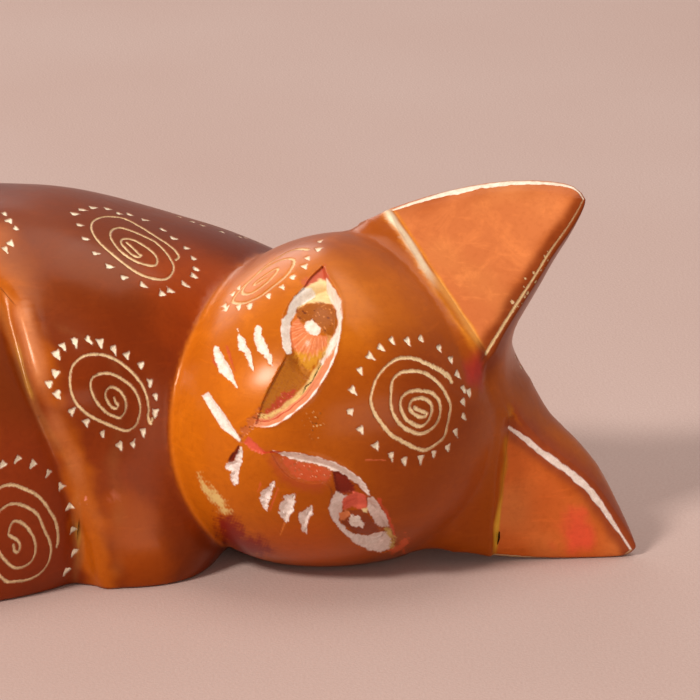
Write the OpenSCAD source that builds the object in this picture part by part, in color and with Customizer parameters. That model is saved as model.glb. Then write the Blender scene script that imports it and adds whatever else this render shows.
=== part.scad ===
// Carved soapstone cat, lying on one cheek with its face to the front.
// Millimetres. +X runs from the rump to the crown, -Y is the side that the face looks to,
// +Z is up, and the origin is on the sanded base under the middle of the figure.
// Every mass of the figure is a smooth closed distance field: negative inside, zero on the skin.

/* [Head] */
// Middle of the skull
head_middle = [40.2, -9.5, 18.2]; // [-100:0.1:100]
// Half sizes of the skull
head_half = [20.4, 21.5, 20.0]; // [16:0.1:24]
// Middle of the muzzle bulge
muzzle_middle = [31.0, -15.5, 16.0]; // [-100:0.1:100]
// Half sizes of the muzzle bulge
muzzle_half = [13.0, 13.0, 13.5]; // [10:0.1:16]

/* [Ears] */
// Outer end of the upper ear's root
upper_ear_outer = [44.7, -2.9, 40.0]; // [-100:0.1:100]
// Inner end of the upper ear's root
upper_ear_inner = [57.0, -19.0, 26.8]; // [-100:0.1:100]
// Tip of the upper ear
upper_ear_tip = [68.2, -6.0, 43.0]; // [-100:0.1:100]
// Thickness of the upper ear behind its flat face
upper_ear_back = 8.5; // [6:0.1:11]
// Outer end of the lower ear's root, below the sanded base
lower_ear_outer = [57.0, -17.6, -6.0]; // [-100:0.1:100]
// Inner end of the lower ear's root
lower_ear_inner = [59.6, -18.2, 17.5]; // [-100:0.1:100]
// Tip of the lower ear
lower_ear_tip = [75.2, -16.0, 1.0]; // [-100:0.1:100]
// Thickness of the lower ear behind its flat face
lower_ear_back = 10.5; // [8:0.1:13]

/* [Body] */
// Middle of the barrel of the chest
chest_middle = [0, 1.5, 16.5]; // [-100:0.1:100]
// Half sizes of the barrel of the chest
chest_half = [44, 25, 22.7]; // [20:0.1:48]
// Middle of the rump
rump_middle = [-40, 3, 17.0]; // [-100:0.1:100]
// Half sizes of the rump
rump_half = [32, 26, 23.2]; // [20:0.1:36]
// Where the chest ends and the rump begins, along X
waist_x = -16; // [-22:0.5:-10]

/* [Legs and tail] */
// Middle of the thigh
thigh_middle = [-15.9, -10.8, 11.7]; // [-100:0.1:100]
// Half sizes of the thigh
thigh_half = [31.5, 25.4, 26.0]; // [18:0.1:34]
// Tilt of the thigh about Y, front end down
thigh_tilt = 34; // [24:1:44]
// Heel of the hind foot
heel = [-45, -19, 7]; // [-100:0.1:100]
// Toes of the hind foot
toes = [-26, -30, 5.5]; // [-100:0.1:100]
// Thickness of the hind foot at the toes
foot_thick = 12; // [10:0.5:14]
// Thickness of the tail at its root
tail_root_thick = 13; // [11:0.5:15]
// Thickness of the tail at its tip
tail_tip_thick = 6.5; // [5:0.5:8]

/* [Hidden] */
// Middle of the whole figure in plan, so that the origin is under it
plan_middle = [0.8, -5.6];
// Halvings of each ray when its point on the skin is looked for
halvings = 15;
// How far each ear's flat face lies behind the skull's skin at its root, and how much it bows
ear_recess = 0.5;
ear_bow = 0.7;
upper_ear_points = [upper_ear_outer, upper_ear_inner, upper_ear_tip];
lower_ear_points = [lower_ear_outer, lower_ear_inner, lower_ear_tip];
// The neck, the breast and the loin, as tapered limbs inside the trunk
neck_root = [16, 0, 14];
neck_end = [38, 1, 12];
breast_top = [11, -9, 25];
breast_foot = [15, -17.5, 3];
loin_rear = [-30, 3, 19.3];
loin_front = [0, 2, 18];
// The low stone that fills the corner between the rump, the tail and the heel
corner_middle = [-51, -15, 3];
corner_half = [15, 15, 9];
// The foreleg's route over the front of the trunk
shoulder = [-9, -8, 33];
elbow = [7, -18, 21.5];
wrist = [11.5, -19.5, 3];
foreleg_thick = 14;
// The tail's route along the base, from the rump round to the front of the thigh
tail_route = [[-52, 20, 9], [-66, 12, 7.5], [-68, -4, 6.5], [-62, -19, 6], [-50, -31, 5.5],
              [-34, -36.5, 5], [-14, -36.5, 3.5]];
stone = "#B4511F";
pale_stone = "#D07038";

// ---------- distance fields ----------

function clamp01(t) = min(max(t, 0), 1);

// Smooth union and smooth cut of two distances, k is the width of the fillet
function blend(a, b, k) = let (h = max(k - abs(a - b), 0) / k) min(a, b) - h * h * k / 4;

function ellipsoid(p, middle, half) =
    let (q = p - middle,
         a = [q.x / half.x, q.y / half.y, q.z / half.z],
         b = [a.x / half.x, a.y / half.y, a.z / half.z],
         k = norm(a))
    k * (k - 1) / max(norm(b), 1e-6);

// A round-ended limb that tapers from radius ra at a to rb at b
function limb(p, a, b, ra, rb) =
    let (ab = b - a, t = clamp01((p - a) * ab / (ab * ab)))
    norm(p - a - t * ab) - (ra + (rb - ra) * t);

// ---------- closed skins ----------

// The distance from the middle to the skin along a direction, by halving
function reach_to_skin(field, middle, way, low, high, left) =
    left == 0 ? (low + high) / 2 :
    let (half = (low + high) / 2)
    field(middle + half * way) < 0
        ? reach_to_skin(field, middle, way, half, high, left - 1)
        : reach_to_skin(field, middle, way, low, half, left - 1);
function skin_point(field, middle, way, reach) =
    middle + way * reach_to_skin(field, middle, way, 0, reach, halvings);

// Triangles that join rings of points, with a point before the first ring and one after the last
function ring_faces(rings, sides) =
    let (last = rings * sides + 1)
    concat(
        [for (j = [0:sides - 1]) [0, 1 + j, 1 + (j + 1) % sides]],
        [for (i = [0:rings - 2], j = [0:sides - 1], k = [0, 1])
            let (a = 1 + i * sides + j,
                 b = 1 + i * sides + (j + 1) % sides,
                 c = a + sides,
                 d = b + sides)
            k == 0 ? [a, c, b] : [b, c, d]],
        [for (j = [0:sides - 1]) [last, last - sides + (j + 1) % sides, last - sides + j]]);

// The skin of a field around a middle that sees all of it
module field_skin(middle, reach, rings, sides, field) {
    points = concat(
        [skin_point(field, middle, [0, 0, -1], reach)],
        [for (i = [1:rings], j = [0:sides - 1])
            let (a = 180 * i / (rings + 1) - 90, b = 360 * j / sides)
            skin_point(field, middle, [cos(a) * cos(b), cos(a) * sin(b), sin(a)], reach)],
        [skin_point(field, middle, [0, 0, 1], reach)]);
    polyhedron(points, ring_faces(rings, sides), convexity = 6);
}

function unit(v) = v / norm(v);

// A smooth curve through the points of a route, t runs from 0 to 1
function route_point(route, t) =
    let (n = len(route) - 1,
         i = min(floor(t * n), n - 1),
         u = t * n - i,
         a = route[max(i - 1, 0)],
         b = route[i],
         c = route[i + 1],
         d = route[min(i + 2, n)])
    b + u * (c - a) / 2 + u * u * (a - 2.5 * b + 2 * c - d / 2) + u * u * u * (1.5 * (b - c) + (d - a) / 2);

// A round limb with round ends, swept along a route, from one thickness to another
module limb_skin(route, start_thick, end_thick, steps, sides) {
    cap = 3;
    count = steps + 1 + 2 * cap;
    spine = [for (i = [0:steps]) route_point(route, i / steps)];
    rings = [for (i = [0:count - 1])
        let (k = min(max(i - cap, 0), steps),
             along = unit(spine[min(k + 1, steps)] - spine[max(k - 1, 0)]),
             side = unit(cross(along, [0, 0, 1])),
             up = cross(side, along),
             r = (start_thick + (end_thick - start_thick) * k / steps) / 2,
             tilt = 90 / (cap + 1) * (i < cap ? i - cap : max(i - cap - steps, 0)))
        for (j = [0:sides - 1])
            let (turn = 360 * j / sides)
            spine[k] + r * sin(tilt) * along + r * cos(tilt) * (cos(turn) * up + sin(turn) * side)];
    first_way = unit(spine[0] - spine[1]);
    last_way = unit(spine[steps] - spine[steps - 1]);
    points = concat([spine[0] + first_way * start_thick / 2], rings, [spine[steps] + last_way * end_thick / 2]);
    polyhedron(points, ring_faces(count, sides), convexity = 6);
}

// ---------- the masses ----------

function skull_field(p) =
    blend(ellipsoid(p, head_middle, head_half), ellipsoid(p, muzzle_middle, muzzle_half), 8);
function chest_field(p) =
    blend(blend(ellipsoid(p, chest_middle, chest_half), limb(p, neck_root, neck_end, 17, 13.5), 8),
          limb(p, breast_top, breast_foot, 10, 9.2), 7);
function rump_field(p) =
    blend(blend(ellipsoid(p, rump_middle, rump_half), limb(p, loin_rear, loin_front, 21, 20.4), 10),
          ellipsoid(p, corner_middle, corner_half), 5);
function trunk_field(p) = blend(chest_field(p), rump_field(p), 8);
function thigh_field(p) =
    let (q = p - thigh_middle,
         x = q.x * cos(thigh_tilt) - q.z * sin(thigh_tilt),
         z = q.x * sin(thigh_tilt) + q.z * cos(thigh_tilt))
    ellipsoid(thigh_middle + [x, q.y, z], thigh_middle, thigh_half);

module skull_skin() { field_skin(head_middle, 34, 24, 40, function (p) skull_field(p)); }
// The trunk on the positive (side 1) or negative (side -1) X side of the waist
module trunk_half(side) {
    spare = 5;
    intersection() {
        field_skin([waist_x + side * 28, 4, 15], 60, 22, 40, function (p)
            max(trunk_field(p), side * (waist_x - p.x) - spare));
        translate([waist_x, -60, -30]) mirror([side < 0 ? 1 : 0, 0, 0]) cube([120, 120, 90]);
    }
}
module thigh_skin() { field_skin(thigh_middle, 50, 20, 34, function (p) thigh_field(p)); }
module foreleg_skin() { limb_skin([shoulder, elbow, wrist], foreleg_thick, foreleg_thick, 10, 14); }
module foot_skin() { limb_skin([heel, (heel + toes) / 2, toes], foot_thick + 2, foot_thick, 8, 14); }
module tail_skin() { limb_skin(tail_route, tail_root_thick, tail_tip_thick, 22, 14); }

// ---------- ears: a flat front triangle with a rounded back ----------

function ear_middle(e) = (e[0] + e[1]) / 2;
function ear_axis(e) = e[2] - ear_middle(e);
function ear_front(e) =
    let (n = unit(cross(e[1] - e[0], e[2] - e[0])))
    n.y > 0 ? -n : n;
function ear_across(e) = unit(cross(ear_front(e), ear_axis(e)));

// Rings from the root, sunk in the skull, to the tip; each has a flat front and a round back
module ear_skin(e, back) {
    steps = 12;
    sides = 18;
    root = -0.45;
    half = abs((e[0] - e[1]) * ear_across(e)) / 2;
    rings = [for (i = [0:steps])
        let (t = root + (1 - root) * i / steps,
             taper = t < 0 ? 1 : max(pow(1 - t, 0.85), 0.04),
             bow = 4 * max(t, 0) * (1 - t) * ear_bow)
        for (j = [0:sides - 1])
            let (turn = 180 * j / (sides - 1),
                 a = -(half * taper + 0.8) * cos(turn),
                 d = -(back * taper + 0.7) * sin(turn))
            ear_middle(e) + t * ear_axis(e) + (a + bow) * ear_across(e)
                + (d - ear_recess) * ear_front(e)];
    root_point = ear_middle(e) + root * ear_axis(e) - ear_front(e) * back * 0.4;
    tip_point = e[2] + 0.02 * ear_axis(e) - ear_front(e) * (ear_recess + 0.4);
    polyhedron(concat([root_point], rings, [tip_point]), ring_faces(steps + 1, sides), convexity = 6);
}

// The stone cut away from the skull in front of an ear's flat face
module ear_cut(e) {
    n = ear_front(e);
    along = unit(e[1] - e[0]);
    out = cross(along, n) * ear_axis(e) < 0 ? -cross(along, n) : cross(along, n);
    long = norm(e[1] - e[0]) + 4;
    m = ear_middle(e) - n * ear_recess;
    multmatrix([[out.x, along.x, n.x, m.x], [out.y, along.y, n.y, m.y], [out.z, along.z, n.z, m.z]])
        translate([0, -long / 2, 0]) cube([30, long, 30]);
}

// ---------- the pieces ----------

// One closed mesh of what is inside, with the flat sanded base cut and the origin set
module stone_piece(shade) {
    color(shade)
    translate([-plan_middle.x, -plan_middle.y, 0])
    difference() {
        resize([0, 0, 0]) children();
        translate([-150, -150, -60]) cube([300, 300, 60]);
    }
}

module head() {
    stone_piece(stone) difference() {
        skull_skin();
        ear_cut(upper_ear_points);
        ear_cut(lower_ear_points);
    }
}

module upper_ear() {
    stone_piece(pale_stone) difference() {
        ear_skin(upper_ear_points, upper_ear_back);
        skull_skin();
    }
}

module lower_ear() {
    stone_piece(pale_stone) difference() {
        ear_skin(lower_ear_points, lower_ear_back);
        skull_skin();
    }
}

module chest() {
    stone_piece(stone) difference() {
        trunk_half(1);
        skull_skin();
        foreleg_skin();
        thigh_skin();
    }
}

module foreleg() {
    stone_piece(pale_stone) difference() {
        foreleg_skin();
        thigh_skin();
    }
}

module rump() {
    stone_piece(stone) difference() {
        trunk_half(-1);
        foreleg_skin();
        thigh_skin();
        foot_skin();
        tail_skin();
    }
}

module thigh() {
    stone_piece(stone) difference() {
        thigh_skin();
        foot_skin();
        tail_skin();
    }
}

module hind_foot() {
    stone_piece(pale_stone) difference() {
        foot_skin();
        tail_skin();
    }
}

module tail() { stone_piece(stone) tail_skin(); }

head();
upper_ear();
lower_ear();
chest();
foreleg();
rump();
thigh();
hind_foot();
tail();
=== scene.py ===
# Carved and dyed soapstone cat lying on one cheek. Shapes are worked out in millimetres in the
# carver's frame (the one that part.scad uses before its origin is set) and built in metres.
from math import cos, sin, radians, pi

import bpy
import numpy as np
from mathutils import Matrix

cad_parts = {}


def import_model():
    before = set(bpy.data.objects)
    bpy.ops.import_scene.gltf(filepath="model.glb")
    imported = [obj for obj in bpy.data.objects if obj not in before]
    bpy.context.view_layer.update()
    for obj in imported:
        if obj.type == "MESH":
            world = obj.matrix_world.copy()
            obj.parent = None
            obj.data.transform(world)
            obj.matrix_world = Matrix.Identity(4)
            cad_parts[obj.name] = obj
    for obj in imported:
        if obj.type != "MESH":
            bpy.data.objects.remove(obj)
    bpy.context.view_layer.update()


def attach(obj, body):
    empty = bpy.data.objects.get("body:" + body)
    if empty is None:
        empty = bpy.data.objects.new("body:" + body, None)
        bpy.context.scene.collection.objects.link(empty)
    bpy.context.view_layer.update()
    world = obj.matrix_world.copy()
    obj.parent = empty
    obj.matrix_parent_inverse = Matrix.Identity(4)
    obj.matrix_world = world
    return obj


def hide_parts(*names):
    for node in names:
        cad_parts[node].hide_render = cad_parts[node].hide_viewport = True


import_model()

import openvdb
from mathutils import Vector
from mathutils.kdtree import KDTree

PLAN_MIDDLE = np.array([0.8, -5.6, 0.0])      # under the middle of the figure, in the carver's frame
MM = 0.001
GRID_STEP = 1.0             # of the first skin, in millimetres
FINE_STEP = 0.14           # of the skin where something is cut or drawn
WIDE_STEP = 1.2                               # of the skin where nothing is
CAP_DEPTH, EAR_CAP_DEPTH = 3.0, 1.2           # the most that a piece's hidden wall runs into the stone

# ---------- distance fields: negative in the stone, zero on its skin ----------


def vec(*numbers):
    return np.array(numbers, dtype=float)


def unit(v):
    return v / np.linalg.norm(v)


def blend(a, b, width):
    """Smooth union of two distances, with a fillet of that width."""
    h = np.maximum(width - np.abs(a - b), 0) / width
    return np.minimum(a, b) - h * h * width / 4


def carve(a, cutter, width):
    """Takes the cutter's inside away, with a small fillet."""
    return -blend(-a, cutter, width)


def ellipsoid(p, middle, half, tilt=0.0):
    q = p - middle
    if tilt:
        c, s = cos(radians(tilt)), sin(radians(tilt))
        q = np.stack([q[:, 0] * c - q[:, 2] * s, q[:, 1], q[:, 0] * s + q[:, 2] * c], axis=1)
    a = q / half
    k = np.sqrt((a * a).sum(1))
    b = a / half
    return k * (k - 1) / np.maximum(np.sqrt((b * b).sum(1)), 1e-6)


def limb(p, a, b, ra, rb):
    """A round-ended limb that tapers from radius ra at a to rb at b."""
    ab = b - a
    t = np.clip(((p - a) @ ab) / (ab @ ab), 0, 1)
    return np.linalg.norm(p - a - t[:, None] * ab, axis=1) - (ra + (rb - ra) * t)


def spline(points, count):
    """A smooth curve through some points."""
    pts = np.array(points, dtype=float)
    n = len(pts) - 1
    out = []
    for t in np.linspace(0, n, count):
        i = min(int(t), n - 1)
        u = t - i
        a, b, c, d = pts[max(i - 1, 0)], pts[i], pts[i + 1], pts[min(i + 2, n)]
        out.append(b + u * (c - a) / 2 + u * u * (a - 2.5 * b + 2 * c - d / 2)
                   + u ** 3 * (1.5 * (b - c) + (d - a) / 2))
    return np.array(out)


def route_limb(p, route, ra, rb, count=13):
    pts = spline(route, count)
    radii = np.linspace(ra, rb, count)
    f = limb(p, pts[0], pts[1], radii[0], radii[1])
    for i in range(1, count - 1):
        f = np.minimum(f, limb(p, pts[i], pts[i + 1], radii[i], radii[i + 1]))
    return f


def path_distance(q, path):
    """Distance to an open line of points, and how far along it the nearest place is (0 to 1)."""
    columns = [np.ascontiguousarray(q[:, k]) for k in range(q.shape[1])]
    best, along = np.full(len(q), np.inf), np.zeros(len(q))
    for i in range(len(path) - 1):
        ab = path[i + 1] - path[i]
        r = [c - path[i][k] for k, c in enumerate(columns)]
        t = np.clip(sum(c * ab[k] for k, c in enumerate(r)) / max(ab @ ab, 1e-12), 0, 1)
        d = sum((c - t * ab[k]) ** 2 for k, c in enumerate(r))
        closer = d < best
        best = np.where(closer, d, best)
        along = np.where(closer, (i + t) / (len(path) - 1), along)
    return np.sqrt(best), along


def outline_distance(q, outline):
    """Distance to a closed outline, negative inside it."""
    loop = np.array(list(outline) + [outline[0]], dtype=float)
    inside = np.zeros(len(q), dtype=bool)
    for a, b in zip(loop[:-1], loop[1:]):
        if a[1] != b[1]:
            x = a[0] + (b[0] - a[0]) * (q[:, 1] - a[1]) / (b[1] - a[1])
            inside ^= ((a[1] > q[:, 1]) != (b[1] > q[:, 1])) & (q[:, 0] < x)
    d = path_distance(q, loop)[0]
    return np.where(inside, -d, d)


class Ear:
    """A flat face inside two rims that run from its root to its tip, with a rounded back behind it."""

    ROLL = 0.4                                # how far the face curves back at its rims
    SWELL = 1.5                               # how far the stone stands in front before the face is cut
    BRIM = 0.5                                # how far the back stands out round the face

    def __init__(self, outer, inner, tip, outer_rim, inner_rim, in_head, root, back, slant):
        outer, inner, tip = vec(*outer), vec(*inner), vec(*tip)
        self.middle = (outer + inner) / 2
        front = unit(np.cross(inner - outer, tip - outer))
        self.front = -front if front[1] > 0 else front
        self.long = np.linalg.norm(tip - self.middle)
        self.axis = (tip - self.middle) / self.long
        across = np.cross(self.front, self.axis)
        self.across = across if across @ (outer - self.middle) > 0 else -across
        self.rims = spline(outer_rim, 25), spline(inner_rim, 25)
        self.outline = np.concatenate([self.rims[0][::2], self.rims[1][-2::-2], spline(in_head, 9)])
        self.root, self.back, self.slant = root, back, slant

    def local(self, p):
        """Along the ear, across towards its outer rim, and out of its face, in millimetres."""
        q = p - self.middle
        return q @ self.axis, q @ self.across, q @ self.front

    def beyond_root(self, x, a):
        start, slope = self.root
        return x - start - slope * a

    def mass(self, p):
        x, a, d = self.local(p)
        f = np.maximum(np.linalg.norm(p - self.middle, axis=1) - 30, 6.0)
        k = (np.abs(x) < 30) & (np.abs(a) < 20) & (np.abs(d) < 15)
        x, a, d = x[k], a[k], d[k]
        behind = np.maximum(-d, 0)
        leant = np.stack([x - self.slant[0] * behind, a - self.slant[1] * behind], axis=1)
        edge = outline_distance(leant, self.outline) - self.BRIM * smooth(behind, 0.1, 0.9)
        u = np.clip(x / self.long, 0, 1)
        round_off = 5.5 - 4.0 * u
        high = np.where(d < 0, self.back * (1 - u) ** 0.7 + 1.3, self.SWELL)
        f[k] = np.hypot(np.maximum(edge + round_off, 0), d * round_off / high) - round_off
        return f

    def cut(self, p):
        """The stone cut away in front of the ear's face, down a leaning step at its root."""
        x, a, d = self.local(p)
        f = np.full(len(p), 9.0)
        k = (np.abs(x) < 30) & (np.abs(a) < 20) & (np.abs(d) < 12)
        x, a, d = x[k], a[k], d[k]
        edge = outline_distance(np.stack([x, a], 1), self.outline)
        face = d + self.ROLL * (1 - np.clip(-edge / 2.5, 0, 1)) ** 2
        step = self.beyond_root(x, a) + 0.7 * np.maximum(face, 0)
        f[k] = np.maximum(np.maximum(-face, -step * 0.8), edge - 1.5)
        return f

    def rim(self, side):
        """The sharp edge between the face and the back, from root to tip, as points in space."""
        line = self.rims[side]
        return self.middle + line[:, :1] * self.axis + line[:, 1:] * self.across - self.front * self.ROLL

    def root_line(self):
        a = np.linspace(self.rims[0][0, 1], self.rims[1][0, 1], 12)
        x = self.root[0] + self.root[1] * a
        return self.middle + x[:, None] * self.axis + a[:, None] * self.across


# ---------- the carved masses ----------

# The points of the rims, sockets, groove, marks and drawn spirals below were picked by eye in the
# photo and turned into millimetres by scratch scripts. Some were then corrected.
UPPER_EAR = Ear(
    (44.7, -2.9, 40.0), (57.0, -19.0, 26.8), (68.2, -6.0, 43.0),
    [(0.4, 11.8), (3.9, 10.9), (7.3, 9.8), (10.9, 8.3), (14.4, 6.4), (17.3, 4.3), (19.4, 2.4), (20.4, 0.9),
     (20.4, -0.7)],
    [(-0.1, -11.6), (4.1, -9.3), (7.7, -7.4), (10.6, -5.9), (13.5, -4.3), (16.4, -3), (18.7, -1.8),
     (20.4, -0.7)],
    [(-3, -11.8), (-6, -8.6), (-7, -1.5), (-6, 7.6), (-3, 12)], (0.4, 0.02), 8.5, (0.0, 0.0))
LOWER_EAR = Ear(
    (57.0, -17.6, -6.0), (59.6, -18.2, 17.5), (75.2, -16.0, 1.0),
    [(0.4, 5), (3.4, 4.6), (8.8, 3.6), (13, 2.8), (15.8, 1.8), (17.1, 0.4)],
    [(-2.5, -11.6), (0, -10.6), (2.9, -9.2), (5.4, -8.2), (8, -7), (10.2, -5.7), (12.1, -4.1), (13.9, -2.5),
     (15.5, -1.1), (17.1, 0.4)],
    [(-6, -11), (-9, -5), (-8, 2), (-4, 5)], (0.1, 0.18), 9.0, (0.3, -0.55))
LEG_GROOVE = spline([(-10, -7, 39.5), (-5, -11.5, 38), (-0.9, -17.4, 33.2), (0.1, -19.9, 30.9),
                     (1.5, -22.7, 27.1), (3, -24.6, 22.7), (4.6, -25.5, 18.3), (6.1, -25.6, 13.7),
                     (7.5, -25.8, 9.3), (8.9, -26.3, 5.4), (10.2, -26.6, -1)], 41)
RIDGE_WAY = vec(0.85, 0.1, 0.5)                # from the groove towards the ridge in front of it
LEG_RIDGE = 2 * RIDGE_WAY                      # the ridge's usual place beside the groove
LEG_RELIEF = 0.6                               # how deep the groove is cut and how high the ridge stands
GROOVE_WIDTH, RIDGE_WIDTH = 1.1, 1.5
TAIL_ROUTE = [(-52, 20, 9), (-66, 12, 7.5), (-68, -4, 6.5), (-62, -19, 6), (-50, -31, 5.5),
              (-34, -36.5, 5), (-14, -36.5, 3.5)]


def skull(p):
    return blend(ellipsoid(p, vec(40.2, -9.5, 18.2), vec(20.4, 21.5, 20.0)),
                 ellipsoid(p, vec(31.0, -15.5, 16.0), vec(13.0, 13.0, 13.5)), 8)


def chest(p):
    f = ellipsoid(p, vec(0, 1.5, 16.5), vec(44, 25, 22.7))
    f = blend(f, limb(p, vec(16, 0, 14), vec(38, 1, 12), 17, 13.5), 8)
    return blend(f, limb(p, vec(11, -9, 25), vec(15, -17.5, 3), 10, 9.2), 7)


def rump(p):
    f = blend(ellipsoid(p, vec(-40, 3, 17.0), vec(32, 26, 23.2)),
              limb(p, vec(-30, 3, 19.3), vec(0, 2, 18), 21, 20.4), 10)
    return blend(f, ellipsoid(p, vec(-51, -15, 3), vec(15, 15, 9)), 5)


def foreleg(p):
    return blend(limb(p, vec(-9, -8, 33), vec(7, -18, 21.5), 6.8, 7),
                 limb(p, vec(7, -18, 21.5), vec(11.5, -19.5, 3), 7, 7), 4)


def thigh(p):
    """Its middle, sizes and tilt were fitted to the groove in front of it by a scratch script."""
    return ellipsoid(p, vec(-15.9, -10.8, 11.7), vec(31.5, 25.4, 26), 34)


def hind_foot(p):
    return limb(p, vec(-45, -19, 7), vec(-26, -30, 5.5), 7, 6)


def tail(p):
    return route_limb(p, TAIL_ROUTE, 6.5, 3.25)


# ---------- the face plane, and the eye sockets cut from it ----------

VIEW_TILT = radians(18)                        # how far the face plane leans back
SOCKETS_Y, MARKS_Y = -14, -10                  # the eyes and the marks lie in front of these
FACE_UP = vec(0, sin(VIEW_TILT), cos(VIEW_TILT))
FACE_OUT = vec(0, -cos(VIEW_TILT), sin(VIEW_TILT))


def face_plane(p):
    """Right and up on the plane that the face looks out of, in millimetres."""
    return np.stack([p[:, 0], p @ FACE_UP], axis=1)


def near(q, points, margin):
    """Which places lie within a margin of the box around some points."""
    pts = np.asarray(points)
    return ((q > pts.min(0) - margin) & (q < pts.max(0) + margin)).all(axis=1)


def smooth(x, low, high):
    """0 below low, 1 above high, and a soft step between."""
    t = np.clip((x - low) / (high - low), 0, 1)
    return t * t * (3 - 2 * t)


class Eye:
    """A leaf-shaped socket between a brow ridge and a cheek edge, with a domed ball at its far end."""

    def __init__(self, brow, cheek, ball, ball_half, brow_slope, cheek_step, cheek_slope, bevel, dome):
        self.brow, self.cheek = spline(brow, 49), spline(cheek, 49)
        self.outline = np.concatenate([self.brow, self.cheek[-2:0:-1]])
        self.ball, self.ball_half = vec(*ball), vec(*ball_half)
        self.brow_slope, self.cheek_step, self.cheek_slope = brow_slope, cheek_step, cheek_slope
        self.bevel, self.dome = bevel, dome

    def depth(self, q):
        d = outline_distance(q, self.outline)
        to_brow, s = path_distance(q, self.brow)
        to_cheek = path_distance(q, self.cheek)[0]
        at_ball = np.sqrt((((q - self.ball) / self.ball_half) ** 2).sum(1))
        ball_end = smooth(at_ball, 1.75, 1.25)
        wall = to_brow * (self.brow_slope + 0.4 * ball_end)
        step = np.minimum(to_cheek * 3, self.cheek_step) * (1 - ball_end)
        floor = step + to_cheek * (self.cheek_slope * (1 - ball_end) + self.bevel * ball_end)
        depth = -blend(-wall, -floor, 0.02)
        low, rise = self.dome
        depth = np.minimum(np.minimum(wall, floor), low + rise * 1.3 ** 2)
        dome = low + rise * at_ball ** 2
        depth = np.where(at_ball < 1.3, np.minimum(depth, dome), depth)
        ridge = 0.1 * np.exp(-(to_brow / 0.4) ** 2) * smooth(s, 0, 0.08) * smooth(s, 1, 0.9)
        return np.where(d < 0, depth, 0) - ridge


UPPER_EYE = Eye(
    [(29.3, 11.3), (31, 11.2), (32.4, 11.8), (34.1, 13), (35.8, 14.5), (37.2, 16.5), (38.3, 18.5),
     (39, 20.7), (39.4, 23.4), (39.5, 25.5), (39.1, 26.9), (38.1, 28.5), (37.4, 30.3)],
    [(29.3, 11.3), (29.8, 12.6), (30.2, 14), (31, 15.7), (32.1, 17.8), (33, 19.6), (32.7, 20.7),
     (32.5, 22.4), (32.6, 24.1), (33.2, 25.5), (33.9, 26.5), (35, 27.6), (35.8, 28.8), (37.4, 30.3)],
    (36.3, 22.3), (2.85, 3.4), 1.2, 0.3, 0.26, 0.9, (0.4, 0.75))
LOWER_EYE = Eye(
    [(31.1, 8.3), (32.5, 8.25), (34.3, 8.1), (36.1, 7.75), (37.9, 7.2), (39.7, 6.4), (41.1, 5.5),
     (42.4, 4.2), (42.9, 3.1), (44, 1.8), (44.9, 0.2), (45.8, -1.4), (45.9, -2.7)],
    [(31.1, 8.3), (32.2, 6.4), (33.6, 5.1), (35.7, 4.5), (37.5, 4.5), (38.3, 3.6), (38.1, 2),
     (38.3, 0.4), (39.3, -0.9), (40.8, -2.2), (42.4, -3.3), (44.2, -4), (45.3, -3.7), (45.9, -2.7)],
    (41.6, -0.2), (2.2, 1.7), 1.3, 0.12, 0.3, 0.75, (0.45, 0.35))


def socket_depth(p):
    """How deep the eye sockets are cut at each place in or on the head."""
    q = face_plane(p)
    front = p[:, 1] < SOCKETS_Y
    depth = np.zeros(len(p))
    for eye in (UPPER_EYE, LOWER_EYE):
        close = front & near(q, eye.outline, 1.2)
        if close.any():
            depth[close] += eye.depth(q[close])
    return depth


def head(p):
    f = blend(carve(skull(p), UPPER_EAR.cut(p), 5), UPPER_EAR.mass(p), 3)
    f = blend(f, LOWER_EAR.mass(p), 5)
    f = carve(f, UPPER_EAR.cut(p), 0.4)
    return carve(f, LOWER_EAR.cut(p), 0.4) + socket_depth(p)


def leg_groove(p):
    """A groove along the foreleg's rear edge, with a rounded ridge in front of it."""
    close = near(p, LEG_GROOVE, 7)
    relief = np.zeros(len(p))
    q = p[close]
    d, s = path_distance(q, LEG_GROOVE)
    gap = np.interp(s, (0, 1), (2.3, 1.3))
    ridge = path_distance(q - gap[:, None] * RIDGE_WAY, LEG_GROOVE)[0]
    ends = smooth(s, 0.1, 0.32)
    relief[close] = ends * (LEG_RELIEF * np.exp(-(d / GROOVE_WIDTH) ** 2)
                            - LEG_RELIEF * np.exp(-(ridge / RIDGE_WIDTH) ** 2))
    return relief


def stone(p):
    """The whole figure: smooth where one mass flows into the next, creased where a groove parts them."""
    f = blend(chest(p), rump(p), 8)
    f = blend(f, foreleg(p), 3)
    f = blend(f, thigh(p), 1.6)
    f = blend(f, hind_foot(p), 1.2)
    f = blend(f, tail(p), 1.0) + leg_groove(p)
    f = blend(f, head(p), 1.2)
    return carve(f, p[:, 2], 0.5)


def in_blocks(field, p, size=200000):
    return np.concatenate([field(p[i:i + size]) for i in range(0, len(p), size)])


def gradient(field, p, step=0.06):
    g = np.empty_like(p)
    for axis in range(3):
        shift = np.zeros(3)
        shift[axis] = step
        g[:, axis] = in_blocks(field, p + shift) - in_blocks(field, p - shift)
    return g / (2 * step)


def onto_skin(field, p, rounds=3):
    for _ in range(rounds):
        g = gradient(field, p)
        f = in_blocks(field, p)
        move = f / np.maximum((g * g).sum(1), 0.2)
        p = p - np.clip(move, -0.6, 0.6)[:, None] * g
    return p


def slide(field, p, way, rounds=3):
    """Moves points along their own directions until they lie on the skin."""
    for _ in range(rounds):
        p = p - way * np.clip(in_blocks(field, p), -0.5, 0.5)[:, None]
    return p


# ---------- meshing ----------

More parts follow.
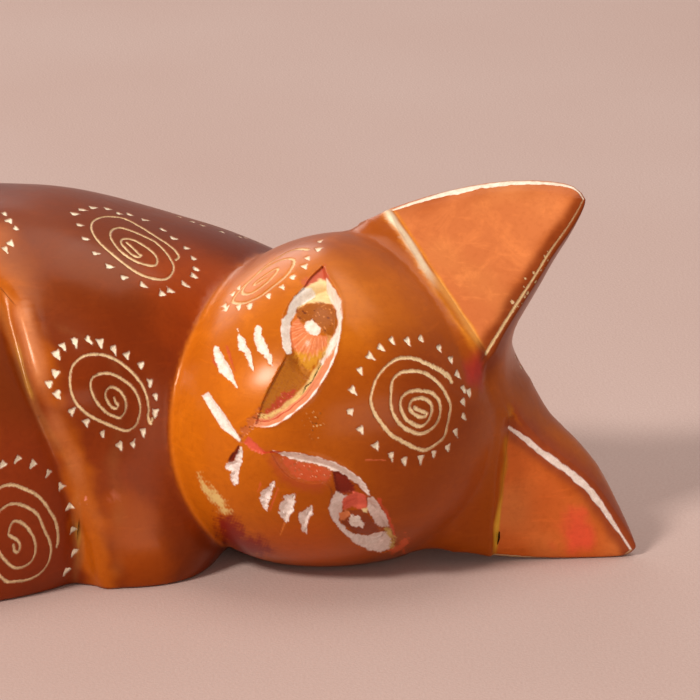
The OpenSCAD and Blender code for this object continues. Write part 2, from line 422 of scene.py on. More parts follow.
def first_skin(field, low, high, step):
    """Triangles of the field's zero level on an even grid."""
    axes = [np.arange(low[i], high[i] + step, step) for i in range(3)]
    shape = [len(a) for a in axes]
    grid_points = np.stack(np.meshgrid(*axes, indexing="ij"), axis=-1).reshape(-1, 3)
    values = in_blocks(field, grid_points).reshape(shape)
    grid = openvdb.FloatGrid()
    grid.copyFromArray(np.clip(values, -3 * step, 3 * step).astype(np.float32))
    points, quads = grid.convertToQuads(isovalue=0.0)
    points = points.astype(float) * step + low
    tris = np.concatenate([quads[:, [0, 1, 2]], quads[:, [0, 2, 3]]])
    return points, tris.astype(np.int64)


def split_edges(points, tris, too_long):
    """Splits every marked edge at its middle, with no gaps. Returns the split edges' ends too."""
    edges = np.stack([tris, np.roll(tris, -1, axis=1)], axis=2).reshape(-1, 2)
    key = np.sort(edges, axis=1)
    code = key[:, 0] * (len(points) + 1) + key[:, 1]
    unique, first, back = np.unique(code, return_index=True, return_inverse=True)
    ends = key[first]
    mark = too_long(points[ends[:, 0]], points[ends[:, 1]], ends)
    if not mark.any():
        return points, tris, ends[:0]
    new_number = np.full(len(unique), -1)
    new_number[mark] = len(points) + np.arange(mark.sum())
    added = (points[ends[mark, 0]] + points[ends[mark, 1]]) / 2
    mid = new_number[back].reshape(-1, 3)
    count = (mid >= 0).sum(1)
    out = [tris[count == 0]]
    three = count == 3
    t, m = tris[three], mid[three]
    out += [np.stack(s, axis=1) for s in (
        (t[:, 0], m[:, 0], m[:, 2]), (m[:, 0], t[:, 1], m[:, 1]),
        (m[:, 2], m[:, 1], t[:, 2]), (m[:, 0], m[:, 1], m[:, 2]))]
    for k in range(3):
        roll = np.roll(np.arange(3), -k)
        one = (count == 1) & (mid[:, k] >= 0)
        t, m = tris[one][:, roll], mid[one][:, roll]
        out += [np.stack(s, axis=1) for s in ((t[:, 0], m[:, 0], t[:, 2]), (m[:, 0], t[:, 1], t[:, 2]))]
        two = (count == 2) & (mid[:, k] < 0)
        t, m = tris[two][:, roll], mid[two][:, roll]
        out += [np.stack(s, axis=1) for s in (
            (m[:, 1], t[:, 2], m[:, 2]), (t[:, 0], t[:, 1], m[:, 1]), (t[:, 0], m[:, 1], m[:, 2]))]
    return np.concatenate([points, added]), np.concatenate(out), ends[mark]


def refine(field, points, tris, wanted, rounds, crease):
    """Splits edges longer than about wanted(points) or, where the skin turns sharply, than crease."""
    size = wanted(points)
    for _ in range(rounds):
        normals = skin_normals(points, tris)

        def too_long(a, b, ends):
            length = np.linalg.norm(a - b, axis=1)
            turn = (normals[ends[:, 0]] * normals[ends[:, 1]]).sum(1)
            bent = (turn < 0.94) & (length > crease)
            return bent | (length > np.minimum(size[ends[:, 0]], size[ends[:, 1]]) * 1.35)
        old = len(points)
        points, tris, ends = split_edges(points, tris, too_long)
        if not len(ends):
            break
        way = normals[ends[:, 0]] + normals[ends[:, 1]]
        way /= np.maximum(np.linalg.norm(way, axis=1), 0.3)[:, None]
        points[old:] = onto_skin(field, slide(field, points[old:], way, 2), 1)
        size = np.concatenate([size, wanted(points[old:])])
    return points, tris


def skin_normals(points, tris):
    a, b, c = points[tris[:, 0]], points[tris[:, 1]], points[tris[:, 2]]
    face = np.cross(b - a, c - a)
    corners = tris.ravel()
    out = np.stack([np.bincount(corners, np.repeat(face[:, i], 3), len(points)) for i in range(3)], axis=1)
    return out / np.maximum(np.linalg.norm(out, axis=1), 1e-12)[:, None]


# ---------- what is scratched, scraped and dyed on the skin ----------

def waves(p, size, seed, count=7):
    """Smooth deterministic unevenness between about -1 and 1, with bumps of about that size."""
    rng = np.random.default_rng(seed)
    out = np.zeros(len(p))
    for _ in range(count):
        way = unit(rng.normal(size=p.shape[1]))
        out += np.sin(p @ way * (2 * pi / size) * rng.uniform(0.6, 1.5) + rng.uniform(0, 2 * pi))
    return out / np.sqrt(count)


def colour(hexa):
    """A hex colour as the linear numbers that a shader takes."""
    out = []
    for i in (0, 2, 4):
        c = int(hexa[i:i + 2], 16) / 255
        out.append(c / 12.92 if c <= 0.04045 else ((c + 0.055) / 1.055) ** 2.4)
    return (*out, 1.0)


class Skin:
    """The whole skin's points, with what is put at each: dye, which also holds a few painted highlights,
    scraping, and depth cut.
    """

    def __init__(self, points, normals):
        self.points, self.normals = points, normals
        self.plane = face_plane(points)
        self.dye = np.tile(vec(*colour("702404")[:3]), (len(points), 1))
        self.raw, self.sink = np.zeros(len(points)), np.zeros(len(points))
        self.head = smooth(in_blocks(chest, points) - in_blocks(head, points), -0.6, 0.3)

    def on_face(self, outline, margin, front=MARKS_Y):
        """The skin points near an outline on the face plane, on the side that the face looks to."""
        return np.flatnonzero(near(self.plane, outline, margin) & (self.points[:, 1] < front))

    def paint(self, where, amount, hexa, raw=0.0, sink=0.0):
        """Lays a colour over some points by an amount from 0 to 1, scraped or cut by as much."""
        a = amount[:, None]
        self.dye[where] = self.dye[where] * (1 - a) + vec(*colour(hexa)[:3]) * a
        self.raw[where] = self.raw[where] * (1 - amount) + raw * amount
        self.sink[where] = np.maximum(self.sink[where], sink * amount)


class Patch:
    """A flat sheet of millimetres laid on the skin, to draw on."""

    def __init__(self, place, out):
        right = unit(np.cross(FACE_UP, out) if abs(out @ FACE_UP) < 0.98 else vec(1, 0, 0))
        self.place, self.out, self.right, self.up = place, out, right, np.cross(out, right)

    def flat(self, p):
        q = p - self.place
        return np.stack([q @ self.right, q @ self.up], axis=1)

    def solid(self, uv):
        """Points on the skin under some places on the sheet."""
        uv = np.asarray(uv, dtype=float)
        p = self.place + uv[:, :1] * self.right + uv[:, 1:] * self.up
        for _ in range(5):
            p = p - self.out * np.clip(in_blocks(stone, p), -1, 1)[:, None]
        return p

    def reach(self, skin, radius):
        """Which skin points lie under the sheet within a radius."""
        q = skin.points - self.place
        return ((q * q).sum(1) < (radius * 1.4) ** 2) & (skin.normals @ self.out > 0.15)


class Spiral:
    """One scratched spiral with a ring of knife nicks around it."""

    def __init__(self, patch, line, nicks, lead, width=0.15):
        self.patch, self.line, self.nicks = patch, spline(line, len(line) * 3), np.array(nicks)
        self.lead, self.width = lead, width
        self.radius = max(np.abs(self.line).max(), np.abs(self.nicks).max()) + 1.5

    def draw(self, skin, seed):
        where = np.flatnonzero(self.patch.reach(skin, self.radius))
        q = self.patch.flat(skin.points[where])
        d, along = path_distance(q, self.line)
        steps = np.gradient(self.line, axis=0)
        way = steps / np.maximum(np.linalg.norm(steps, axis=1), 1e-9)[:, None]
        nib = np.abs(way @ unit(vec(0.86, -0.5)))
        last_turn = smooth(np.linspace(0, 1, len(nib)), 0.93, 0.985)
        swell = self.width * (0.5 + 0.75 * nib ** 2) * (1 + 0.5 * last_turn)
        half = np.interp(along, np.linspace(0, 1, len(swell)), swell)
        half = half * (1 + 0.16 * waves(q, 1.1, seed) + 0.14 * waves(q, 0.4, seed + 1))
        amount = smooth(d, half + 0.07, half - 0.06)
        skin.paint(where, amount, "F0D2A2", 1.0, 0.16)
        for number, centre in enumerate(self.nicks):
            self.nick(skin, where, q, centre, seed + number)

    def nick(self, skin, where, q, centre, seed):
        """A three-cornered knife nick, with its point towards lead."""
        rng = np.random.default_rng(seed)
        close = ((q - centre) ** 2).sum(1) < 1.2
        if not close.any():
            return
        angle = radians(self.lead) + rng.normal() * 0.25
        long, wide = rng.uniform(0.5, 0.78), rng.uniform(0.3, 0.44)
        c, s = cos(angle), sin(angle)
        r = q[close] - centre
        x, y = r[:, 0] * c + r[:, 1] * s, r[:, 1] * c - r[:, 0] * s
        along = np.clip((x + 0.55 * long) / (1.55 * long), 0, 1)
        side = np.abs(y + 0.1 * x) - wide * (1 - along ** 1.5)
        edge = np.maximum(np.maximum(-x - long * 0.55, x - long), side)
        edge = edge + 0.05 * waves(q[close], 0.7, seed)
        skin.paint(where[close], smooth(edge, 0.05, -0.07), "FCEED2", 1.0, 0.2)

    def middles(self):
        """Places on the skin that need small triangles."""
        return self.patch.solid(np.concatenate([self.line[::2], self.nicks]))


def turned_spiral(radius, turns, seed):
    """An uneven spiral and its ring of nicks, for the places where the photo shows none in full."""
    rng = np.random.default_rng(seed)
    t = np.linspace(0, 1, 26)
    angle = rng.uniform(0, 2 * pi) - t * turns * 2 * pi
    r = radius * (0.1 + 0.9 * t ** 0.9) * (1 + 0.05 * np.sin(2 * angle + rng.uniform(0, 6)))
    drift = rng.normal(size=2) * 0.1 * radius
    line = np.stack([r * np.cos(angle), r * np.sin(angle)], axis=1) + drift * t[:, None]
    count = int(rng.integers(20, 24))
    around = np.linspace(0, 2 * pi, count, endpoint=False) + rng.normal(size=count) * 0.05
    reach = radius * 1.42 + rng.normal(size=count) * 0.25
    return line, np.stack([reach * np.cos(around), reach * np.sin(around)], axis=1) + drift


# The face's marks, as outlines on the face plane in millimetres.
FACE = {
    "band1": [(35.9, 27.5), (35, 27.5), (34, 26.5), (33.3, 25.4), (33.1, 24.4), (32.5, 23.8),
        (32.4, 22.3), (32.6, 20.5), (33.1, 19.7), (33.7, 19.8), (33.6, 20.5), (33.4, 21.9),
        (33.5, 23.4), (34.1, 24.6), (34.2, 25.2), (35.2, 25.7), (36.4, 26.4), (36.4, 26.9)],
    "lid1": [(35.2, 27.5), (36.4, 28.3), (37.1, 28.6), (38.1, 28.2), (38.5, 27.3), (38.7, 25.4),
        (38.1, 25.6), (37, 25.8), (35.2, 25.6), (34.4, 25), (34.2, 25.4), (36.4, 26.4)],
    "tip1": [(37.4, 30.3), (38.1, 28.1), (38.3, 27.3), (37.5, 27.5), (36.4, 27.5), (35.2, 27.3),
        (35, 28.3), (36, 29.1), (36.9, 29.7)],
    "rim1": [(37.7, 28.6), (38.7, 27.3), (39.4, 26), (39.5, 24.4), (39.4, 22.3), (38.9, 20.7),
        (38.1, 19.6), (37.2, 18.4), (37, 18.8), (37.7, 19.8), (37.9, 20.7), (38.7, 22.1), (39.1, 23.4),
        (38.9, 24.8), (38.3, 25.8), (37.8, 26.9)],
    "iris1": [(34.2, 25), (35.6, 25.6), (37.1, 25.8), (38.3, 25.5), (38.9, 24.6), (39, 23.2),
        (38.5, 21.7), (37.4, 22.1), (37, 22.8), (36, 23.6), (35, 23.4), (34.3, 23.8)],
    "ball1": [(33.4, 22.3), (33.7, 23.4), (34.4, 24), (35.2, 22.7), (36.4, 21.9), (37.9, 21.7),
        (37.8, 20.7), (37.2, 19.6), (36, 18.7), (35.2, 18.4), (34.3, 19.6), (33.6, 20.7)],
    "amber1": [(33.9, 20), (36, 19.6), (37.5, 20.3), (37.2, 19.2), (36, 17.8), (35.2, 18), (34.3, 19)],
    "pupil1": [(35.3, 23.5), (36, 23.7), (36.6, 23.2), (37.1, 22.7), (37, 22.3), (36.6, 21.9),
        (35.9, 22), (35.3, 22.5), (35, 22.8)],
    "floor1": [(33.1, 19.6), (34.3, 19.5), (35.6, 18), (36.1, 17.1), (34.3, 15.1), (32.6, 13.8),
        (29.7, 11.5), (30.2, 13.6), (30.8, 15.3), (32, 17.3)],
    "red1": [(34.1, 15.6), (32.5, 15.1), (31.8, 14.2), (30.4, 12.8), (29.7, 11.5), (31.4, 12.1),
        (32.9, 13.4), (34.1, 14.8)],
    "mouth": [(23, 14.8), (23.8, 15.2), (25.9, 12.4), (27.7, 9.6), (27.5, 9.4), (25.4, 11)],
    "lip": [(27.6, 8.9), (28, 8.5), (27.7, 7), (27.2, 4.3), (26.8, 4.3), (26.4, 5.2), (26.5, 5.8),
        (26, 6.1), (25.8, 6.8), (26.3, 7), (26.8, 7), (27.2, 8.2)],
    "lipdark": [(27.5, 9), (27.3, 8), (26.8, 7), (26.3, 6.9), (26.1, 7.1), (26.6, 8)],
    "nose": [(28, 9.3), (28.5, 10), (29.2, 9.4), (30.6, 8.2), (30.2, 7.9), (28.9, 8.4)],
    "noseline": [(30.22, 8.21), (30.8, 8.25), (32.15, 8.3), (32.54, 8.15), (30.8, 8.06), (30.22, 7.98)],
    "bridge": [(27.7, 9.5), (28.4, 10.3), (29.5, 11.8), (30.2, 13.2), (29.9, 13.4), (28.7, 12),
        (27.5, 10.5)],
    "w1": [(24.5, 20.7), (25, 20.5), (25.5, 19.6), (26.3, 18.2), (26.9, 16.9), (27.3, 15.7),
        (26.5, 16.5), (25.5, 17.3), (25, 17.6), (24.9, 18.4), (24.4, 19.6)],
    "w2": [(27.2, 22.6), (27.8, 21.7), (28.4, 20.7), (28.9, 19.6), (29.3, 17.5), (29, 17.7),
        (28.5, 18.8), (28.1, 19.9), (27.5, 20.1), (27.3, 21.5)],
    "w3": [(29.6, 23.2), (30, 22.7), (30.4, 21.3), (31.2, 19.6), (31.4, 18.3), (31, 18.6), (30.4, 19.6),
        (29.6, 20.1), (29.3, 21.1), (29.2, 22.5)],
    "w1s": [(25.79, 20.73), (26.05, 20.63), (26.5, 19.56), (27.01, 17.63), (26.75, 17.82),
        (26.21, 19.27)],
    "w1t": [(24.02, 19.75), (24.53, 18.98), (24.94, 18.3), (24.74, 18.21), (24.34, 18.69)],
    "v1": [(31.6, 4.7), (31.3, 3.3), (30.9, 2.3), (30.7, 1.2), (30.2, 1.7), (29.9, 2.7), (30, 3.3),
        (30.8, 4.1)],
    "v2": [(34, 3.3), (34.1, 2.3), (33.7, 1), (33, -0.2), (32.6, 0.2), (32.1, 1.4), (32.3, 1.9),
        (32.7, 2.9)],
    "v3": [(36.1, 2), (36, 1), (35.5, -0.4), (35.4, -1.7), (35, -1.2), (34.5, -0), (34.5, 0.8),
        (35.2, 1.4)],
    "v2s": [(32.96, -0.14), (32.67, -0.14), (32.16, -1.75), (32.3, -1.79)],
    "v1s": [(32.03, 4.1), (32.13, 3.81), (31.83, 3.02), (31.14, 1.24), (30.94, 1.34), (31.54, 2.92)],
    "v1t": [(30.01, 4.71), (30.08, 4.29), (29.64, 3.4), (29.55, 3.5), (29.81, 4.28)],
    "wall2": [(31.4, 8.3), (32.2, 8.2), (34.3, 8.1), (36.8, 7.6), (38.7, 7), (40.2, 6.2), (41.5, 5.3),
        (42.4, 4.3), (42.9, 3), (42.5, 3.2), (41.4, 4.3), (40.2, 5.3), (39.1, 5.9), (38.3, 6.1),
        (37.5, 6.5), (36, 6.9), (34.3, 7.2), (32.9, 7.7)],
    "floor2": [(32.5, 7.8), (34.3, 7.1), (36, 6.8), (37.5, 6.4), (38.3, 5.9), (38.1, 5.1), (37.1, 4.8),
        (34.8, 4.9), (33.7, 5.6), (32.8, 6.8)],
    "groove2": [(30.8, 8.1), (32.2, 8), (33.7, 5.7), (35, 4.9), (37.2, 4.9), (38.1, 5.1), (37.9, 4.3),
        (36.8, 3.5), (34.1, 3.9), (32.5, 4.9), (31.4, 6.4)],
    "hollow2": [(38.4, 5.9), (39.2, 5.9), (40.2, 5.3), (41, 4.3), (41.1, 3.5), (40, 3.1), (39.1, 3.3),
        (38.7, 4.5)],
    "patch2": [(39.7, 2.8), (41, 3.5), (42.4, 3), (42.5, 1.7), (41.8, 1.4), (40.8, 1.7), (39.8, 1.3),
        (39.6, 2.1)],
    "ringa2": [(38.9, 3.5), (40.3, 2.9), (39.8, 2.4), (39.5, 1.2), (39.1, 0.2), (39.6, -0.5),
        (40.8, -1.6), (42.6, -1.9), (43.9, -1.5), (45, -1.4), (45.5, -2.8), (45.3, -3.6), (44.1, -4),
        (42.6, -3.6), (41, -2.7), (39.5, -1.2), (38.4, 0.2), (38, 1.4), (38.3, 2.7)],
    "ringb2": [(42.5, 2.7), (43.1, 3), (43.9, 1.9), (44.7, 0.7), (45.1, -0.6), (44.7, -1), (43.7, -0.6),
        (43.1, 0.4), (42.6, 1.3)],
    "yellow2": [(44.6, -1), (45.4, -1), (45.9, -2.1), (45.8, -3.2), (45.2, -3.6), (45.5, -2.3)],
    "iris2": [(39.7, 1.2), (41.8, 1.4), (42.7, 0.7), (43.7, -0.7), (43.9, -1.4), (42.6, -1.8),
        (41, -1.5), (39.6, -0.3), (39.3, 0.4)],
    "pupil2": [(40.6, 0.7), (41.6, 0.4), (42.2, -0.3), (42, -0.9), (41, -0.8), (40.2, -0.2)],
    "chip2": [(39.2, 0.9), (40.2, 1.2), (40.5, 0.8), (39.8, -0), (39.4, -0)],
    "spark2": [(41.9, 1.4), (42.6, 1.5), (42.5, 1), (42.1, 1)],
    "curl2": [(45.2, -3.7), (46.1, -3), (47.1, -2), (47.6, -2.2), (47.4, -3), (46.5, -4), (45.7, -4.3)],
    "curlb2": [(46.91, -3.67), (47.45, -4.84), (47.32, -4.95), (46.72, -3.99)],
    "edge2": [(43.52, 3.11), (43.9, 2.81), (44.88, 1.12), (45.48, -0.29), (45.89, -1.93),
        (45.69, -2.14), (45.19, -0.69), (44.49, 1.12), (43.71, 2.52)],
    "chin": [(22.6, 5.4), (23.6, 4.3), (25.2, 2.9), (26.4, 0.9), (25.6, 0.9), (24.3, 2.1), (23.2, 3.6)],
    "chinred": [(24.6, 0.3), (26.2, 0.5), (27.2, 0), (28.3, -1.9), (30.3, -2.4), (31.2, -3.9), (28, -5),
        (25, -2.5)],
    "specks": [(35.6, 12.8), (37, 13.2), (37.4, 11.7), (36.6, 9.4), (35.6, 10.7), (35.2, 12)],
    "speckscr": [(42.3, 7.4), (44.7, 7.3), (44.7, 7.2), (42.3, 7.2)],
}


def face_mark(skin, outline, hexa, soft, sink, raw, ragged, seed):
    """Paints and cuts inside an outline on the face plane."""
    where = skin.on_face(outline, 1.0)
    where = where[skin.normals[where] @ FACE_OUT > -0.1]
    q = skin.plane[where]
    d = outline_distance(q, outline) + ragged * (0.6 * waves(q, 1.3, seed) + 0.5 * waves(q, 0.45, seed + 9))
    skin.paint(where, smooth(d, soft, -soft), hexa, raw)
    skin.sink[where] = np.maximum(skin.sink[where], np.clip(-d, 0, sink) * (sink > 0))


def speckle(skin, outline, hexa, size, share, seed, raw):
    """Small flecks where the surface was knocked or scuffed."""
    where = skin.on_face(outline, 1.0)
    q = skin.plane[where]
    inside = smooth(outline_distance(q, outline), 0.5, -0.6)
    fleck = waves(q, size, seed, 11) + 0.5 * waves(q, size * 2.4, seed + 3)
    skin.paint(where, inside * smooth(fleck, 1.5 - share, 1.9 - share), hexa, raw, 0.04)


def paint_trough(skin):
    """The upper socket's long groove: a painted highlight on half-scraped stone along the brow ridge, pink
    bevel, pale band and a dark crack.
    """
    where = skin.on_face(UPPER_EYE.outline, 0.5, SOCKETS_Y)
    q = skin.plane[where]
    inside = outline_distance(q, UPPER_EYE.outline) < 0.12
    d, s = path_distance(q, UPPER_EYE.brow)
    d = d + 0.05 * waves(q, 1.6, 5)
    groove = inside * smooth(s, 0.66, 0.52)
    skin.paint(where, groove * smooth(d, 1.6, 1.3), "E5C07A", 0.7)
    skin.paint(where, groove * smooth(d, 1.02, 0.85), "DE8A62", 0.35)
    skin.paint(where, groove * smooth(np.abs(d - 1.1 - 0.12 * waves(q, 2.0, 8)), 0.09, 0.04)
               * smooth(np.abs(s - 0.43), 0.13, 0.07), "1E1008", 0.4, 0.12)
    # A painted highlight along the brow ridge, laid on half-scraped stone.
    skin.paint(where, smooth(d, 0.15, 0.05) * smooth(s, 0.03, 0.1) * smooth(s, 0.8, 0.6), "FBEADE", 0.5)
    skin.paint(where, groove * smooth(np.abs(d - 0.62), 0.1, 0.03) * smooth(s, 0.5, 0.2), "C2452F")


def paint_ball(skin):
    """Fine strokes of a blade across the lower half of the upper eyeball."""
    where = skin.on_face(FACE["ball1"], 0.1, SOCKETS_Y)
    q = skin.plane[where]
    inside = smooth(outline_distance(q, FACE["ball1"]), 0.0, -0.3)
    angle = np.arctan2(q[:, 1] - 23.4, q[:, 0] - 36.9)
    strokes = np.sin(angle * 34 + waves(q, 1.5, 4)) * 0.5 + np.sin(angle * 61 + 1.0) * 0.5
    skin.paint(where, inside * smooth(strokes, 0.15, 0.8) * 0.6, "F0A880", 0.3)
    skin.paint(where, inside * smooth(strokes, -0.3, -0.9) * 0.35, "B0502A")


# Each mark's name, colour, softness of edge, depth, share of bare stone and raggedness.
BROAD_MARKS = (
    ("chinred", "8A1F12", 0.9, 0, 0, 0.5), ("chin", "E2BC74", 0.35, 0, 0.2, 0.3),
    ("groove2", "A8461C", 0.7, 0, 0, 0.2), ("floor1", "A8621A", 0.3, 0, 0.1, 0.2),
    ("red1", "B03A24", 0.2, 0, 0.15, 0.15))
FINE_MARKS = (
    ("tip1", "C4553A", 0.3, 0, 0.3, 0.25), ("lid1", "F2D69C", 0.15, 0, 0.6, 0.1),
    ("iris1", "9E5210", 0.12, 0.03, 0.3, 0.1), ("ball1", "DC7D4E", 0.12, 0, 0.3, 0.08),
    ("amber1", "D9982E", 0.35, 0, 0.3, 0.2), ("band1", "F2E8DA", 0.07, 0.04, 0.8, 0.05),
    ("rim1", "F6E6D6", 0.12, 0, 0.8, 0.08), ("pupil1", "F6E6D4", 0.08, 0.1, 1, 0.08),
    ("edge2", "C64A2C", 0.15, 0, 0.3, 0.15), ("curl2", "C9572E", 0.3, 0, 0.3, 0.35),
    ("curlb2", "C9572E", 0.06, 0, 0.3, 0.05), ("floor2", "BC4A26", 0.15, 0, 0.2, 0.12),
    ("hollow2", "7A1F16", 0.2, 0.25, 0.1, 0.1), ("wall2", "F6E6DA", 0.07, 0.03, 0.9, 0.09),
    ("ringa2", "E8D4CA", 0.07, 0.03, 0.9, 0.09), ("ringb2", "E0CAC0", 0.08, 0.03, 0.9, 0.1),
    ("yellow2", "CBAA66", 0.2, 0, 0.6, 0.2), ("iris2", "8A3C1E", 0.12, 0.05, 0.2, 0.08),
    ("patch2", "D9604C", 0.12, 0, 0.5, 0.1), ("chip2", "DC8050", 0.1, 0, 0.5, 0.12),
    ("spark2", "EBCF98", 0.08, 0, 0.8, 0.1), ("pupil2", "ECDCD0", 0.07, 0.08, 1, 0.12),
    ("bridge", "BE6230", 0.15, 0.08, 0.4, 0.3), ("nose", "DB5A44", 0.1, 0.14, 0.4, 0.08),
    ("noseline", "C84028", 0.06, 0.1, 0.2, 0.02), ("mouth", "FAECE0", 0.06, 0.4, 1, 0.04),
    ("lip", "F6E4DA", 0.06, 0.3, 1, 0.14), ("lipdark", "6E1E12", 0.12, 0.25, 0.2, 0.08),
    ("w1s", "C9562A", 0.07, 0.06, 0.4, 0.05), ("w1t", "C9562A", 0.07, 0.05, 0.4, 0.05),
    ("w1", "FBEEDF", 0.06, 0.35, 1, 0.09), ("w2", "FBEEDF", 0.06, 0.35, 1, 0.09),
    ("w3", "FBEEDF", 0.06, 0.35, 1, 0.09), ("v1s", "CC5A2C", 0.07, 0.06, 0.4, 0.04),
    ("v1t", "CC5A2C", 0.07, 0.05, 0.4, 0.04), ("v2s", "DC7A34", 0.06, 0.06, 0.4, 0.02),
    ("v1", "F6E4DA", 0.06, 0.32, 1, 0.12), ("v2", "F6E6DC", 0.06, 0.34, 1, 0.13),
    ("v3", "F6E4DA", 0.06, 0.32, 1, 0.13), ("speckscr", "C9603A", 0.05, 0.03, 0.4, 0.03))
# Where each kind of fleck lies, its colour, size, share of the place, seed and bare stone.
FLECKS = (
    ("specks", "E2B97A", 0.45, 0.35, 3, 0.6), ("specks", "6E3A10", 0.7, 0.5, 6, 0.1),
    ("bridge", "6A2A10", 0.6, 0.7, 8, 0.1), ("red1", "D9705A", 0.4, 0.4, 11, 0.6),
    ("floor2", "A8522C", 0.5, 0.6, 12, 0.1), ("floor2", "E09A78", 0.4, 0.2, 13, 0.6),
    ("iris1", "C87A3A", 0.5, 0.5, 19, 0.1), ("iris1", "6E2C0C", 0.6, 0.35, 22, 0.1),
    ("floor1", "A2591C", 0.3, 0.9, 15, 0.1))
LEG_SCUFF = [(8.5, 3.4), (12.6, 2.9), (12.6, 1.9), (8.7, 2.2)]


def draw_marks(skin, marks, seed):
    for number, (name, *look) in enumerate(marks):
        face_mark(skin, FACE[name], *look, seed + number)


def draw_face(skin):
    """Every scraped, cut and tinted place on the face, from the broad ones to the small ones."""
    draw_marks(skin, BROAD_MARKS, 0)
    paint_trough(skin)
    draw_marks(skin, FINE_MARKS, 20)
    paint_ball(skin)
    for name, *look in FLECKS:
        speckle(skin, FACE[name], *look)
    speckle(skin, LEG_SCUFF, "F0907A", 0.5, 0.6, 17, 0.3)
    blob(skin, (43.4, -30.1, 22.9), 0.24, "1A0C06", 1.0, 0.1)


# ---------- the ears' rims and faces ----------

def draw_rim(skin, ear, side, widths, hexa, burrs, seed):
    """A chipped, undyed edge whose width follows some numbers from root to tip."""
    line = ear.rim(side)
    where = np.flatnonzero(near(skin.points, line, 2.0))
    p = skin.points[where]
    d, s = path_distance(p, line)
    width = np.interp(s, np.linspace(0, 1, len(widths)), widths)
    chip = 0.14 * waves(p, 4, seed) + 0.12 * waves(p, 1.2, seed + 1)
    width = width * (1 + np.clip(chip, -0.6, 0.6))
    burr = smooth(waves(p, 0.7, seed + 5, 11), 1.0, 1.5) * smooth(np.abs(s - 0.35), 0.25, 0.1) * burrs
    amount = smooth(d - 0.9 * burr, width + 0.06, width - 0.06) * (width > 0.02)
    skin.paint(where, amount, hexa, 1.0, 0.12)


def draw_ear(skin, ear, face_hexa, edge_hexa):
    """The flat face's lighter dye, darker towards its rims."""
    x, a, d = ear.local(skin.points)
    where = np.flatnonzero((np.abs(x) < 25) & (np.abs(a) < 14) & (np.abs(d) < 1.6))
    p, x, a = skin.points[where], x[where], a[where]
    edge = -outline_distance(np.stack([x, a], axis=1), ear.outline)
    facing = smooth(skin.normals[where] @ ear.front, 0.55, 0.85)
    beyond = smooth(ear.beyond_root(x, a), -0.3, 0.3) * facing * smooth(edge, -0.6, 0.0)
    skin.paint(where, beyond, face_hexa)
    skin.paint(where, beyond * smooth(edge + 0.5 * waves(p, 5, 3), 2.6, 0.2) * 0.6, edge_hexa)
    skin.paint(where, beyond * smooth(0.5 + 0.5 * waves(p, 9, 12), 0.2, 1.4) * 0.35, "DC8A4C")


def draw_root_dye_and_highlight(skin, ear, from_s, to_s, low, high, hexa, strength, raw):
    """A band on the step where an ear's face meets the head, between two distances from its foot: light dye,
    and on the upper ear a painted highlight as well.
    """
    line = ear.root_line()
    where = np.flatnonzero(near(skin.points, line, 3.5))
    p = skin.points[where]
    x, a, d = ear.local(p)
    s = path_distance(p, line)[1]
    e = ear.beyond_root(x, a) + 0.1 * waves(p, 4, 21)
    along = smooth(s, from_s - 0.08, from_s + 0.06) * smooth(s, to_s + 0.12, to_s - 0.1)
    band = smooth(e, low - 0.35, low + 0.3) * smooth(e, high + 0.3, high - 0.15)
    band = band * smooth(d, -1.0, -0.5) * (d < 3.5)
    skin.paint(where, along * band * strength, hexa, raw)


def draw_ears(skin):
    draw_ear(skin, UPPER_EAR, "CE7440", "A04408")
    draw_ear(skin, LOWER_EAR, "CC6228", "A8480A")
    # Bands at the ears' roots: on the upper ear a painted highlight on the bevel over light dye, brightest
    # in its cream core; on the lower ear light dye in the step.
    for ear, *look in (
            (UPPER_EAR, 0.0, 0.95, -1.4, 0.2, "D8801F", 0.85, 0.2),
            (UPPER_EAR, 0.02, 0.5, -1.05, -0.3, "FFF4D2", 1.0, 0.0),
            (UPPER_EAR, 0.5, 0.95, -0.6, 0.1, "E8A450", 0.8, 0.2),
            (LOWER_EAR, 0.0, 0.98, -0.4, 0.1, "B87A1C", 0.7, 0.2),
            (LOWER_EAR, 0.1, 0.4, -0.4, 0.05, "F0C040", 0.7, 0.2)):
        draw_root_dye_and_highlight(skin, ear, *look)
    blob(skin, (56.6, -21.0, 26.0), 2.6, "A8202A", 0.75, 0.6)
    blob(skin, (68.0, -17.0, 2.9), 2.2, "DC4C34", 0.85, 0.6)
    blob(skin, (67.6, -17.0, 5.5), 1.5, "DC4C34", 0.7, 0.5)
    for ear, hexa in ((UPPER_EAR, "7A2C08"), (LOWER_EAR, "8E3A20")):
        by_rim = np.flatnonzero(near(skin.points, ear.rim(1), 4))
        p = skin.points[by_rim]
        reach = np.where(ear.local(p)[2] < -0.5, 4.0, 1.8)
        d = path_distance(p, ear.rim(1))[0] + 0.15 * waves(p, 3, 51)
        skin.paint(by_rim, smooth(d, reach, 0.3 * reach) * 0.85, hexa)
    for ear, side, widths, hexa, burrs, seed in (
            (UPPER_EAR, 0, [0.12, 0.34, 0.5, 0.5, 0.36, 0.26, 0.16, 0.08], "F8E8D2", 0.0, 31),
            (UPPER_EAR, 1, [0.16, 0.16, 0.14, 0.1, 0.08, 0.05, 0.05, 0.05], "D8B888", 1.0, 37),
            (LOWER_EAR, 1, [0.12, 0.34, 0.38, 0.4, 0.42, 0.34, 0.12, 0.1], "FAE8DC", 0.0, 41),
            (LOWER_EAR, 0, [0.15, 0.3, 0.2, 0.15, 0.2, 0.15, 0.12, 0.12], "E2C698", 0.0, 47)):
        draw_rim(skin, ear, side, widths, hexa, burrs, seed)


# ---------- the dye, which ran and was rubbed unevenly ----------

